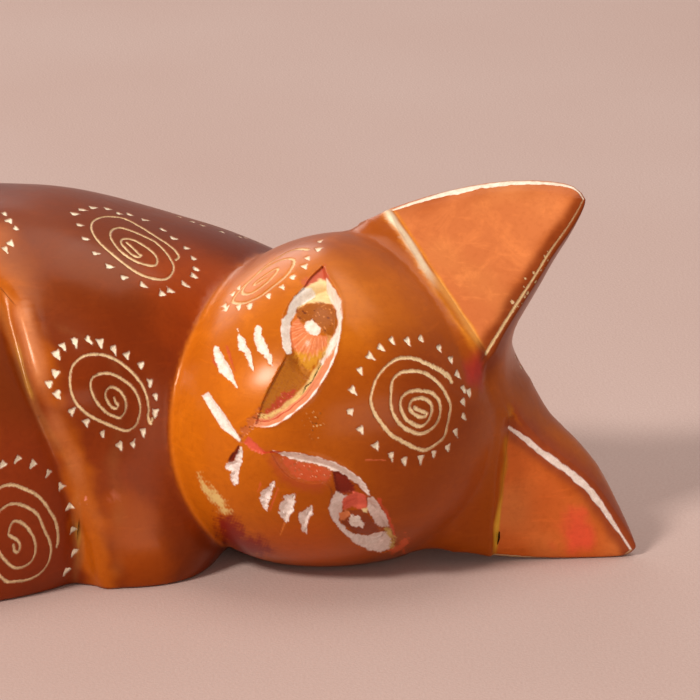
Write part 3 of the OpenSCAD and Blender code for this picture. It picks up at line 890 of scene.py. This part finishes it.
def blob(skin, middle, radius, hexa, strength, ragged=0.3, stretch=(1, 1, 1), on=None):
    """A soft cloud of another dye round a place."""
    q = (skin.points - vec(*middle)) / vec(*stretch)
    near_by = np.flatnonzero((q * q).sum(1) < (2.2 * radius) ** 2)
    p = skin.points[near_by]
    r = np.sqrt((q[near_by] ** 2).sum(1)) / radius + ragged * 0.35 * waves(p, radius * 1.1, int(radius * 7))
    amount = smooth(r, 1.35, 0.45) * strength
    skin.paint(near_by, amount if on is None else amount * on[near_by], hexa)


def stripe(skin, line, width, hexa, strength, ragged=0.3, seed=1, soft=0.5):
    """A soft band of dye along a line of points."""
    line = np.array(line, dtype=float)
    where = np.flatnonzero(near(skin.points, line, width * 1.5))
    p = skin.points[where]
    d = path_distance(p, line)[0] + ragged * width * 0.5 * waves(p, width * 1.6, seed)
    skin.paint(where, smooth(d, width * (1 + soft), width * (1 - soft)) * strength, hexa)


def dye_zones(skin):
    """Orange where the dye was rubbed thin on ridges, red-brown where it gathered."""
    p, face, body = skin.points, skin.head, 1 - skin.head
    drift = smooth(waves(p, 34, 2) + 0.4 * waves(p, 13, 3), -0.6, 1.0)
    skin.paint(np.arange(len(p)), drift * 0.4 * body, "883A06")
    for middle, radius, hexa, strength in (
            ((17, -23, 22), 17, "7C2A06", 1.0), ((12, -8, 38), 15, "742A04", 0.85),
            ((23, -12, 34), 8, "A03C04", 0.8)):
        blob(skin, middle, radius, hexa, strength, on=body)
    blob(skin, (-2, -31, 10), 13, "8A3010", 0.9)
    stripe(skin, [(-9, -9, 40), (-1, -17, 34), (4, -23, 27), (7, -25, 18), (9.5, -26, 8), (11, -27, 0)], 1.9,
           "B0540C", 0.9)
    stripe(skin, [(14, -26, 9), (17, -27, 0)], 3.0, "A44606", 0.6, seed=9)
    skin.paint(np.arange(len(p)), face, "A44C06")
    blob(skin, (24, -20, 20), 15, "CE6A0E", 0.95, 0.25, (0.75, 1, 1.25), face)
    for middle, radius, hexa, strength in (
            ((32, -18, 34), 9, "D0700C", 0.8), ((40, -24, 36), 8, "C66A10", 0.7),
            ((50, -20, 36), 8, "BE600E", 0.8), ((51, -28, 23), 10, "8C380A", 0.9),
            ((52, -26, 5), 13, "943E06", 0.9), ((36, -29, 2), 8, "C05412", 0.7),
            ((58, 2, 20), 12, "B4500E", 0.7)):
        blob(skin, middle, radius, hexa, strength, on=face)
    stripe(skin, [(-45, -10, 36), (-20, -30, 27), (-6, -33, 20)], 5, "C86610", 0.5, seed=4)
    stripe(skin, [(-60, 18, 30), (-30, 22, 33), (0, 22, 30), (30, 12, 28)], 6, "C06010", 0.6, seed=6)
    stripe(skin, [(-12, -4, 42), (-6, -10, 39), (-2, -16, 35)], 5, "B4580C", 0.8, seed=12)
    blob(skin, (-62, 2, 26), 14, "C06010", 0.6)


def worn_and_highlit_ridge(skin):
    """A paler band along the foreleg's ridge: dye worn thin there, with a painted highlight laid over it."""
    where = np.flatnonzero(near(skin.points, LEG_GROOVE, 5))
    p = skin.points[where]
    d, s = path_distance(p - LEG_RIDGE, LEG_GROOVE)
    worn_and_highlight = smooth(d + 0.15 * waves(p, 6, 71), 1.7, 0.1) * smooth(s, 0.2, 0.3) * smooth(s, 0.95, 0.5)
    # Painted highlight over worn dye along the ridge.
    skin.paint(where, worn_and_highlight * 0.7, "DA8C60")


def grooves(skin):
    """Lines of paler dye in the grooves between the masses, drawn where two of them meet."""
    p = skin.points
    pairs = ((foreleg, thigh, 0.4), (chest, foreleg, 0.25), (thigh, rump, 0.5), (tail, thigh, 0.5))
    for number, (a, b, strength) in enumerate(pairs):
        fa, fb = in_blocks(a, p), in_blocks(b, p)
        gap = np.maximum(np.abs(fa), np.abs(fb)) + 0.12 * waves(p, 4.0, 60 + number)
        where = np.flatnonzero(gap < 1.2)
        skin.paint(where, smooth(gap[where], 1.1, 0.5) * strength * 0.5, "A87A48")
        skin.paint(where, smooth(gap[where], 0.5, 0.2) * strength, "BE9038", 0.2)


# The photo's five spirals: their lines and the middles of their nicks, on their own patches.
FOREHEAD_LINE = [(-0.2, -0.63), (0.5, -0.94), (1.21, -1.2), (1.39, -1.39), (1.08, -1.64), (0.37, -1.63),
    (-0.33, -1.25), (-0.81, -0.75), (-0.84, -0.25), (-0.54, 0.26), (0.23, 0.53), (1.07, 0.44),
    (1.71, 0.12), (2.04, -0.51), (2.01, -1.26), (1.6, -2.14), (1.05, -2.64), (0.43, -2.79),
    (-0.57, -2.38), (-1.26, -1.88), (-1.82, -0.99), (-2.02, -0.24), (-1.88, 0.51), (-1.12, 1.2),
    (-0.16, 1.41), (0.96, 1.38), (1.82, 1.26), (2.53, 0.81), (3.04, 0.25), (3.23, -0.51), (3.2, -1.52),
    (2.79, -2.4), (2.02, -3.15), (0.77, -3.64), (-0.51, -3.39), (-1.62, -2.81), (-2.45, -1.99),
    (-3, -0.99), (-3.19, 0.27), (-3.08, 1.53), (-2.94, 2.41), (-2.46, 3.1), (-1.63, 3.6), (-0.81, 3.72),
    (0.43, 3.72), (1.54, 3.46), (2.79, 2.71), (3.63, 1.76), (4.27, 0.75), (4.73, -0.39), (4.58, -1.4),
    (4.33, -2.66), (4.05, -3.91), (3.36, -4.6), (1.69, -5.54), (0.24, -5.34), (-1.21, -4.7),
    (-3.01, -3.74), (-4.1, -2.61), (-4.89, -1.47), (-5.33, -0.59), (-5.5, 0.41), (-5.28, 1.54),
    (-4.77, 2.79), (-3.93, 3.86), (-2.95, 4.67), (-1.85, 5.18), (-0.62, 5.3), (0.61, 5.17),
    (1.69, 4.73), (2.94, 4.22), (4.09, 3.66), (4.89, 3.03), (5.15, 2.46)]
FOREHEAD_NICKS = [(-2.1, 7.3), (-3.7, 6.5), (-5.2, 5.5), (-6.5, 3.8), (-7.5, 1.5), (-7.8, -1),
    (-6.6, -3.1), (-4.7, -5), (-2.7, -6.2), (-1, -6.8), (1.1, -6.6), (2.8, -6), (4.7, -5.3),
    (5.7, -3.5), (6.8, -1.7), (6.7, 0.1), (7, 1.6), (7.8, 1.2), (6.4, 3.3), (5.8, 5.1), (4.4, 6.5),
    (2, 7.6), (-0, 7.3)]
CHEEK_LINE = [(0.34, -0.11), (-0.1, -0.61), (-0.48, -1.21), (-0.86, -1.32), (-0.98, -0.88),
    (-0.61, -0.09), (-0.06, 0.99), (0.38, 1.66), (0.75, 1.76), (1.04, 1.1), (1.03, -0.19),
    (0.68, -1.57), (-0.11, -2.74), (-1.13, -3), (-1.96, -2.59), (-2.3, -1.73), (-2.18, -0.2),
    (-1.71, 1.39), (-0.94, 2.88), (0.01, 3.74), (0.99, 3.99), (1.93, 3.6), (2.64, 2.25), (2.85, 0.46),
    (2.21, -1.6), (1.33, -3.38), (-0.1, -4.39), (-1.36, -4.5), (-2.48, -4.14), (-2.75, -3.27),
    (-2.65, -1.83), (-2.14, 0.12), (-1.85, 2.28), (-1.32, 4.05), (-0.64, 5.56), (0.31, 6.36),
    (2.03, 6.3)]
CHEEK_NICKS = [(-3, -5.3), (-2.9, -5), (-0.9, -5.1), (0.7, -4.9), (2.5, -3.1), (3.5, -1.4), (3.8, 0.5),
    (4.1, 2.7), (3.4, 4.4), (3.3, 6.7), (1.8, 8.9), (-3.4, -1.5), (-3.6, -2.6), (-3.6, -4.6)]
SHOULDER_LINE = [(-1.02, 1.14), (-0.58, -0.08), (-0.23, -1.23), (0.03, -1.41), (-0.55, -1.77),
    (-1.23, -1.2), (-1.58, -0.04), (-1.76, 0.97), (-1.41, 1.79), (-0.57, 1.99), (0.29, 1.58),
    (1.12, 0.37), (1.72, -0.78), (1.89, -1.88), (1.51, -2.95), (0.83, -3.31), (-0.33, -2.98),
    (-1.35, -2.27), (-2.33, -0.75), (-2.68, 1.04), (-2.56, 2.72), (-1.81, 4.04), (-0.56, 4.62),
    (0.68, 3.87), (1.81, 2.8), (2.88, 1.59), (3.49, -0.21), (3.72, -2.06), (3.63, -3.45), (2.79, -4.79),
    (1.68, -5.45), (0.19, -5.32), (-1.32, -4.53), (-2.58, -3), (-3.74, -0.56), (-4.42, 1.7),
    (-4.42, 4.06), (-3.75, 5.83), (-2.53, 7.01), (-0.9, 7.57), (1.03, 7.23), (2.31, 5.29), (3.46, 3.02),
    (4.56, 1.17), (5.08, -0.18), (5.04, -1.34), (4.41, -1.98)]
SHOULDER_NICKS = [(-5, 8.4), (-3.6, 9.4), (-1.9, 10.1), (0, 9.9), (1, 8.7), (2.4, 8.6), (4, 7.3),
    (5.4, 4.9), (6, 2.9), (6.9, 0.8), (7.1, -1.3), (6.7, -3.3), (6, -4.5), (4.3, -6), (2, -7),
    (0.8, -7.4), (-1.3, -6.2), (-3.3, -4.9), (-4.6, -2.9), (-5.5, -0.4), (-5.8, 2.6), (-5.4, 5.6)]
BREAST_LINE = [(0.05, -0.24), (0.31, -0.81), (0.62, -1.15), (0.33, -1.49), (-0.3, -1.26),
    (-0.83, -0.57), (-1.09, 0.11), (-0.82, 0.79), (-0.18, 1.06), (0.7, 0.67), (1.32, -0.01),
    (1.63, -0.93), (1.48, -1.96), (0.88, -2.59), (0.13, -2.4), (-0.89, -1.94), (-1.92, -1.03),
    (-2.66, 0.11), (-2.91, 1.25), (-2.56, 2.16), (-1.55, 2.61), (-0.43, 2.66), (0.91, 2.15),
    (2.12, 1.35), (2.96, 0.32), (3.43, -1.05), (3.33, -2.42), (2.88, -3.56), (1.82, -4.13),
    (0.46, -3.78), (-1.29, -3.08), (-3, -2.28), (-4.44, -1.02), (-5.1, 0.34), (-5.22, 1.93),
    (-4.83, 3.3), (-4.03, 4.2), (-3.03, 4.77), (-1.63, 4.93), (-0.25, 4.66), (1.11, 3.98), (2.47, 2.83),
    (3.61, 1.46), (4.28, -0.14), (4.51, -1.74), (4.4, -2.43), (4.76, -3.23), (4.98, -2.66)]
BREAST_NICKS = [(-2.2, 6.6), (-3.8, 6.4), (-5.2, 5.8), (-6.1, 4.9), (-6.6, 2.7), (-7.4, 1.4),
    (-6.6, 0.2), (-5, -1.8), (-3.2, -3.1), (-1.1, -4.5), (1.1, -5.9), (2.7, -5.7), (3.9, -4.3),
    (5.3, -2), (5.3, -0.1), (4.7, 1.6), (3.7, 3.6), (2.1, 4.8), (0.6, 5.5), (-0.9, 6.3)]
LEG_LINE = [(-0.55, -1.21), (-0.35, -1.86), (0.01, -2.18), (0.34, -1.87), (0.27, -1.23), (-0.27, -0.57),
    (-1.25, -0.07), (-1.42, 0.21), (-1.4, 0.91), (-1.16, 1.52), (-0.71, 1.75), (0.13, 1.5),
    (1.06, 0.79), (1.89, -0.15), (2.45, -1.31), (2.61, -2.47), (2.29, -3.42), (1.53, -3.98),
    (0.44, -4.2), (-0.51, -3.77), (-1.55, -2.93), (-2.41, -1.98), (-3.63, -0.49), (-4, 0.9),
    (-3.14, 2.67), (-2.27, 3.48), (-1.34, 3.8), (-0.37, 3.7), (0.98, 3.23), (1.87, 2.73), (2.53, 2.03),
    (3.34, 0.62), (4.19, -0.56), (4.79, -1.74), (4.92, -3.22), (4.51, -4.39), (3.61, -5.33),
    (2.25, -5.86), (0.94, -5.96), (-0.36, -5.99), (-1.43, -5.27), (-3.04, -4.13), (-4.75, -2.23),
    (-5.46, -0.11), (-5.3, 1.96), (-4.42, 4.12), (-3.22, 5.56), (-2.28, 5.97), (-1.17, 5.97),
    (-0.04, 5.6), (1.46, 4.98), (2.68, 4.15), (3.8, 2.9), (4.85, 1.62), (5.42, 0.34), (5.69, -0.81),
    (5.66, -1.74)]
LEG_NICKS = [(-7, 5.6), (-6, 7), (-4.6, 7.9), (-2.8, 8.3), (-0.8, 8.9), (1.3, 8.3), (3.5, 7.2),
    (5.5, 5.5), (6.9, 3), (7.9, 0.1), (8.5, -2.6), (8, -5.1), (-8, 3.7), (-8.1, 1.6), (-7.6, -0.6),
    (-6.4, -2.9)]
# Place, line, nicks, the way their points look in degrees, and half width of the line.
DRAWN_SPIRALS = [
    ((48.3, -28.3, 23.9), FOREHEAD_LINE, FOREHEAD_NICKS, -62, 0.17),
    ((30.4, -15.1, 35.2), CHEEK_LINE, CHEEK_NICKS, -35, 0.14),
    ((15.0, -9.0, 37.0), SHOULDER_LINE, SHOULDER_NICKS, -20, 0.13),
    ((12.6, -24.0, 23.3), BREAST_LINE, BREAST_NICKS, -75, 0.12),
    ((1.8, -31.7, 8.5), LEG_LINE, LEG_NICKS, -125, 0.14),
]

# Place, radius and turns of the made-up spirals. The photo shows a few nicks of at least two.
MADE_UP_SPIRALS = [
    ((-6.8, -8.9, 39.8), 4.6, 3.2), ((24, 10, 34), 4.6, 3.0), ((-20, -34, 20), 5.2, 3.3),
    ((-36, -14, 36), 5.0, 3.0), ((-24, 6, 40), 5.0, 3.2), ((-52, 4, 36), 4.8, 3.0),
    ((-66, 8, 24), 4.6, 2.8), ((-44, 26, 24), 5.2, 3.4), ((-14, 26, 22), 5.4, 3.3),
    ((14, 24, 18), 4.8, 3.0), ((42, 11, 24), 5.0, 3.2), ((60, -4, 20), 4.2, 2.8),
]


# ---------- pieces ----------

OWNERS = ["tail", "hind_foot", "thigh", "foreleg", "head", "upper_ear", "lower_ear", "chest", "rump"]
WAIST_X = -16.0                                # where the chest ends and the rump begins


def owner_of(p):
    """Which carved mass each point of the skin belongs to, as a number in OWNERS."""
    trunk = blend(chest(p), rump(p), 8)
    masses = np.stack([tail(p), hind_foot(p), thigh(p), foreleg(p), skull(p)]
                      + [ear_claim(ear, p) for ear in (UPPER_EAR, LOWER_EAR)] + [trunk], axis=1)
    owner = masses.argmin(1)
    owner[(owner == OWNERS.index("chest")) & (p[:, 0] < WAIST_X)] = OWNERS.index("rump")
    return owner


def ear_claim(ear, p):
    """An ear owns the skin that lies beyond its root and off the skull."""
    x, a, d = ear.local(p)
    return np.where((ear.beyond_root(x, a) > 0.1) & (np.abs(d) < 13) & (ear.mass(p) < 2), -50, 99)


def tidy_islands(owner, tris, rounds=6):
    """Gives a face the owner that most of its neighbours have, so that each mass has a clean edge."""
    edges = np.sort(np.stack([tris, np.roll(tris, -1, axis=1)], axis=2).reshape(-1, 2), axis=1)
    code = edges[:, 0] * (tris.max() + 1) + edges[:, 1]
    order = np.argsort(code, kind="stable")
    same = code[order][1:] == code[order][:-1]
    left, right = order[:-1][same] // 3, order[1:][same] // 3
    for _ in range(rounds):
        votes = np.zeros((len(tris), len(OWNERS)))
        votes[np.arange(len(tris)), owner] += 0.9
        np.add.at(votes, (left, owner[right]), 1)
        np.add.at(votes, (right, owner[left]), 1)
        owner = votes.argmax(1)
    return owner


def close_piece(points, tris, inward, deepest):
    """Caps a cut-out stretch of skin: a wall straight into the stone from each rim, then a fan."""
    edges = np.stack([tris, np.roll(tris, -1, axis=1)], axis=2).reshape(-1, 2)
    code, back = edges[:, 0] * len(points) + edges[:, 1], edges[:, 1] * len(points) + edges[:, 0]
    rim = {int(a): int(b) for a, b in edges[~np.isin(code, back)]}
    extra_points, extra_tris = [], []
    while rim:
        start = next(iter(rim))
        loop, at = [], start
        while at in rim:
            loop.append(at)
            at = rim.pop(at)
        if len(loop) < 3:
            continue
        first = len(points) + len(extra_points)
        deep = points[loop] + inward[loop] * min(deepest, 0.02 * len(loop) * MM)
        count = len(loop)
        extra_points += list(deep) + [deep.mean(0)]
        for k in range(count):
            a, b, c, d = loop[k], loop[(k + 1) % count], first + k, first + (k + 1) % count
            extra_tris += [(b, a, c), (b, c, d), (d, c, first + count)]
    if not extra_points:
        return points, tris
    return np.concatenate([points, extra_points]), np.concatenate([tris, extra_tris])


def make_piece(name, node, points, tris, normals, skin, material):
    """One carved mass, capped, with the normals of the whole skin so that its seams show less."""
    used, back = np.unique(tris, return_inverse=True)
    where = (points[used] - PLAN_MIDDLE) * MM
    deepest = (EAR_CAP_DEPTH if "ear" in node else CAP_DEPTH) * MM
    closed, faces = close_piece(where, back.reshape(-1, 3), -normals[used], deepest)
    mesh = bpy.data.meshes.new(name)
    mesh.from_pydata(closed.tolist(), [], faces.tolist())
    mesh.validate()
    mesh.polygons.foreach_set("use_smooth", np.ones(len(mesh.polygons), dtype=bool))
    spare = len(closed) - len(used)
    facing = np.concatenate([normals[used], np.tile([0.0, 0.0, 1.0], (spare, 1))])
    dye = np.concatenate([np.c_[skin.dye[used], np.ones(len(used))], np.zeros((spare, 4))])
    raw = np.concatenate([skin.raw[used], np.zeros(spare)])
    dyes = mesh.attributes.new("dye", "FLOAT_COLOR", "POINT")
    dyes.data.foreach_set("color", dye.ravel().astype(np.float32))
    raws = mesh.attributes.new("raw", "FLOAT", "POINT")
    raws.data.foreach_set("value", raw.astype(np.float32))
    mesh.update()
    mesh.normals_split_custom_set_from_vertices(facing.tolist())
    mesh.materials.append(material)
    piece = bpy.data.objects.new(name, mesh)
    bpy.context.scene.collection.objects.link(piece)
    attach(piece, "root")
    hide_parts(node)
    return piece


# ---------- materials ----------

class Nodes:
    """A short way to write a material's nodes."""

    def __init__(self, name):
        self.material = bpy.data.materials.new(name)
        self.material.use_nodes = True
        self.tree = self.material.node_tree
        self.tree.nodes.clear()

    def add(self, kind, settings=None, **inputs):
        node = self.tree.nodes.new(kind)
        for key, value in (settings or {}).items():
            setattr(node, key, value)
        for key, value in inputs.items():
            self.put(node.inputs[key.replace("_", " ")], value)
        return node

    def put(self, socket, value):
        if isinstance(value, bpy.types.NodeSocket):
            self.tree.links.new(value, socket)
        else:
            socket.default_value = value

    def noise(self, where, scale, detail=3.0, rough=0.5, distortion=0.0):
        node = self.add("ShaderNodeTexNoise", Scale=scale, Detail=detail, Roughness=rough,
                        Distortion=distortion)
        self.put(node.inputs["Vector"], where)
        return node.outputs["Fac"]

    def remap(self, value, low, high, to_low=0.0, to_high=1.0):
        node = self.add("ShaderNodeMapRange")
        for index, number in enumerate((value, low, high, to_low, to_high)):
            self.put(node.inputs[index], number)
        return node.outputs[0]

    def math(self, operation, a, b=0.0):
        node = self.add("ShaderNodeMath", {"operation": operation, "use_clamp": False})
        self.put(node.inputs[0], a)
        self.put(node.inputs[1], b)
        return node.outputs[0]

    def mix(self, factor, a, b, blend_type="MIX"):
        node = self.add("ShaderNodeMix", {"data_type": "RGBA", "blend_type": blend_type})
        self.put(node.inputs["Factor"], factor)
        self.put(node.inputs[6], a)
        self.put(node.inputs[7], b)
        return node.outputs[2]

    def attribute(self, name, output="Fac"):
        return self.add("ShaderNodeAttribute", {"attribute_name": name}).outputs[output]

    def bump(self, height, strength, distance, normal=None):
        node = self.add("ShaderNodeBump", Strength=strength, Distance=distance, Height=height)
        if normal is not None:
            self.put(node.inputs["Normal"], normal)
        return node.outputs[0]


def stone_material(name):
    """Dyed, waxed soapstone: mottled dye under a soft polish, chalky where a blade went through it."""
    n = Nodes(name)
    where = n.add("ShaderNodeTexCoord").outputs["Object"]
    # The dye attribute is the surface colour, the painted highlights included.
    dye, raw = n.attribute("dye", "Color"), n.attribute("raw")
    polished = n.math("SUBTRACT", 1.0, raw)
    broad = n.noise(where, 45, 4, 0.6, 0.5)
    cloud = n.noise(where, 190, 5, 0.65, 0.8)
    grain = n.noise(where, 1500, 3, 0.6)
    streak_way = n.add("ShaderNodeMapping", Scale=(260, 260, 1500), Vector=where, Rotation=(0.4, 0.7, 0.2))
    streak = n.noise(streak_way.outputs[0], 1.0, 3, 0.6, 0.3)
    dark = n.mix(1.0, dye, (0.74, 0.6, 0.5, 1), "MULTIPLY")
    light = n.mix(1.0, dye, (1.28, 1.35, 1.25, 1), "MULTIPLY")
    mottled = n.mix(n.math("MULTIPLY", n.remap(broad, 0.35, 0.6, 0.55, 0.0), polished), dye, dark)
    mottled = n.mix(n.math("MULTIPLY", n.remap(cloud, 0.5, 0.75, 0.0, 0.55), polished), mottled, light)
    mottled = n.mix(n.math("MULTIPLY", n.remap(grain, 0.3, 0.52, 0.3, 0.0), polished), mottled, dark)
    mottled = n.mix(n.math("MULTIPLY", n.remap(streak, 0.58, 0.72, 0.0, 0.3), polished), mottled, light)
    chalk = n.mix(n.remap(grain, 0.35, 0.65), n.mix(1.0, dye, (0.8, 0.76, 0.72, 1), "MULTIPLY"), dye)
    base = n.mix(raw, mottled, chalk)
    rough = n.remap(cloud, 0.3, 0.7, 0.3, 0.42)
    rough = n.math("ADD", rough, n.math("MULTIPLY", raw, 0.35))
    coat = n.math("MULTIPLY", polished, n.remap(broad, 0.3, 0.7, 0.26, 0.14))
    fine_way = n.add("ShaderNodeMapping", Scale=(900, 900, 5200), Vector=where, Rotation=(0.9, 0.3, 0.5))
    scratches = n.noise(fine_way.outputs[0], 1.0, 2, 0.6)
    bump = n.bump(n.noise(where, 320, 3, 0.55), 0.25, 0.0001)
    bump = n.bump(n.remap(scratches, 0.5, 0.7), 0.08, 0.00004, bump)
    bump = n.bump(n.math("MULTIPLY", n.noise(where, 3800, 4, 0.7), raw), 0.7, 0.00012, bump)
    shader = n.add("ShaderNodeBsdfPrincipled", Base_Color=base, Roughness=rough, Coat_Weight=coat,
                   Coat_Roughness=0.2, Normal=bump, Specular_Tint=(1.0, 0.42, 0.08, 1),
                   Specular_IOR_Level=0.35)
    out = n.add("ShaderNodeOutputMaterial")
    n.put(out.inputs["Surface"], shader.outputs[0])
    return n.material


# ---------- the figure ----------

def spirals():
    """Every spiral on the figure, those drawn after the photo first, then the made-up ones."""
    plan = list(DRAWN_SPIRALS)
    for number, (place, radius, turns) in enumerate(MADE_UP_SPIRALS):
        plan.append((place, *turned_spiral(radius, turns, 100 + number), -60 + 37 * number, 0.14))
    places = onto_skin(stone, np.array([item[0] for item in plan], dtype=float), 5)
    facing = gradient(stone, places)
    return [Spiral(Patch(place, unit(out)), *item[1:5]) for place, out, item in zip(places, facing, plan)]


def skin_of_stone(drawings):
    """The whole skin, finest where something is cut or drawn and along every crease."""
    points, tris = first_skin(stone, vec(-78, -42, -3), vec(79, 36, 47), GRID_STEP)
    points = onto_skin(stone, points, 2)
    rims = [e.rim(side) for e in (UPPER_EAR, LOWER_EAR) for side in (0, 1)]
    rims += [e.root_line() for e in (UPPER_EAR, LOWER_EAR)]
    rims += [LEG_GROOVE, LEG_GROOVE + LEG_RIDGE]
    outlines = list(FACE.values()) + [UPPER_EYE.outline, LOWER_EYE.outline]
    face = np.concatenate([fill_outline(outline) for outline in outlines])
    places = np.concatenate([onto_face(face)] + rims + [d.middles() for d in drawings])
    tree = KDTree(len(places))
    for number, place in enumerate(places):
        tree.insert(place, number)
    tree.balance()

    def wanted(p):
        d = np.array([tree.find(q)[2] for q in p])
        return np.clip(FINE_STEP + 0.35 * (d - 0.75), FINE_STEP, WIDE_STEP)
    return refine(stone, points, tris, wanted, 5, 2.2 * FINE_STEP)


def fill_outline(outline, step=0.6):
    """Points over and round the inside of an outline."""
    o = np.asarray(outline, dtype=float)
    xs, ys = [np.arange(o[:, i].min(), o[:, i].max() + step, step) for i in (0, 1)]
    grid = np.stack(np.meshgrid(xs, ys), axis=-1).reshape(-1, 2)
    loop = np.concatenate([o, o[:1]])
    edge = []
    for a, b in zip(loop[:-1], loop[1:]):
        count = max(2, int(np.linalg.norm(b - a) / step))
        edge += [a + (b - a) * t for t in np.linspace(0, 1, count)[:, None, None]]
    return np.concatenate([grid[outline_distance(grid, o) < 0.1]] + edge)


def onto_face(q):
    """The places on the skin that are seen at some places on the face plane."""
    p = q[:, :1] * vec(1, 0, 0) + q[:, 1:] * FACE_UP + 44 * FACE_OUT
    for _ in range(16):
        p = p - FACE_OUT * np.clip(in_blocks(stone, p), -1, 8)[:, None] * 0.85
    return p


def build_figure():
    drawings = spirals()
    points, tris = skin_of_stone(drawings)
    skin = Skin(points, skin_normals(points, tris))
    dye_zones(skin)
    grooves(skin)
    worn_and_highlit_ridge(skin)
    draw_ears(skin)
    draw_face(skin)
    for number, drawing in enumerate(drawings):
        drawing.draw(skin, 200 + 40 * number)
    points = points - skin.normals * skin.sink[:, None]
    points[:, 2] = np.maximum(points[:, 2], 0)
    normals = skin_normals(points, tris)
    face_owner = tidy_islands(owner_of(skin.points[tris].mean(1)), tris)
    dyed = stone_material("dyed_stone")
    for number, node in enumerate(OWNERS):
        make_piece(node + "_stone", node, points, tris[face_owner == number], normals, skin, dyed)
    print("figure:", len(points), "points,", len(tris), "triangles")


# ---------- floor, lights and camera ----------

def floor():
    """A plain pale cloth with a fine grain."""
    mesh = bpy.data.meshes.new("table")
    mesh.from_pydata([(-3, -1.5, 0), (3, -1.5, 0), (3, 6, 0), (-3, 6, 0)], [], [(0, 1, 2, 3)])
    table = bpy.data.objects.new("table", mesh)
    bpy.context.scene.collection.objects.link(table)
    n = Nodes("pale_cloth")
    where = n.add("ShaderNodeTexCoord").outputs["Object"]
    thread = n.noise(where, 2600, 2, 0.6)
    soft = n.noise(where, 9, 3, 0.5)
    base = n.mix(n.remap(soft, 0.35, 0.65), colour("C0A69C"), colour("BB9E93"))
    base = n.mix(n.remap(thread, 0.35, 0.65, 0.0, 0.35), base, colour("AE8E82"))
    shader = n.add("ShaderNodeBsdfPrincipled", Base_Color=base, Roughness=0.92,
                   Normal=n.bump(thread, 0.35, 0.0002))
    out = n.add("ShaderNodeOutputMaterial")
    n.put(out.inputs["Surface"], shader.outputs[0])
    mesh.materials.append(n.material)


LIGHT_AIM = Vector((0.02, 0, 0.02))
# Name, place, size, power and tint of each light, in metres and watts.
LIGHTS = (
    ("key", (-0.47, -0.47, 0.62), (0.16, 0.16), 6.5, (1.0, 0.97, 0.93)),
    ("front", (0.35, -0.95, 0.22), (0.7, 0.4), 2.1, (1.0, 0.95, 0.92)),
    ("back", (-0.5, 0.9, 0.6), (0.9, 0.5), 3.5, (1.0, 0.97, 0.94)),
    ("top", (0.15, 0.25, 1.2), (0.8, 0.8), 5.5, (1.0, 0.97, 0.95)))


def softbox(name, place, size, power, tint):
    light = bpy.data.lights.new(name, "AREA")
    light.shape = "RECTANGLE"
    light.size, light.size_y = size
    light.energy = power
    light.color = tint
    lamp = bpy.data.objects.new(name, light)
    lamp.location = place
    lamp.rotation_euler = (LIGHT_AIM - Vector(place)).to_track_quat("-Z", "Y").to_euler()
    bpy.context.scene.collection.objects.link(lamp)


def camera():
    """A long lens at the side of the face, leaning down by the face plane's tilt."""
    data = bpy.data.cameras.new("camera")
    distance, width = 0.65, 0.08575
    data.sensor_width = 36.0
    data.lens = data.sensor_width * distance / width
    data.dof.use_dof = False
    cam = bpy.data.objects.new("camera", data)
    aim = (vec(40.5, 0, 21.2) - PLAN_MIDDLE) * MM
    cam.location = aim + distance * FACE_OUT
    cam.rotation_euler = (pi / 2 - VIEW_TILT, 0, 0)
    bpy.context.scene.collection.objects.link(cam)
    bpy.context.scene.camera = cam


def world():
    w = bpy.data.worlds.new("room")
    w.use_nodes = True
    background = w.node_tree.nodes["Background"]
    background.inputs["Color"].default_value = (0.95, 0.86, 0.82, 1)
    background.inputs["Strength"].default_value = 0.38
    bpy.context.scene.world = w


camera()
world()
floor()
bpy.context.scene.view_settings.view_transform = "Standard"
for light in LIGHTS:
    softbox(*light)
build_figure()
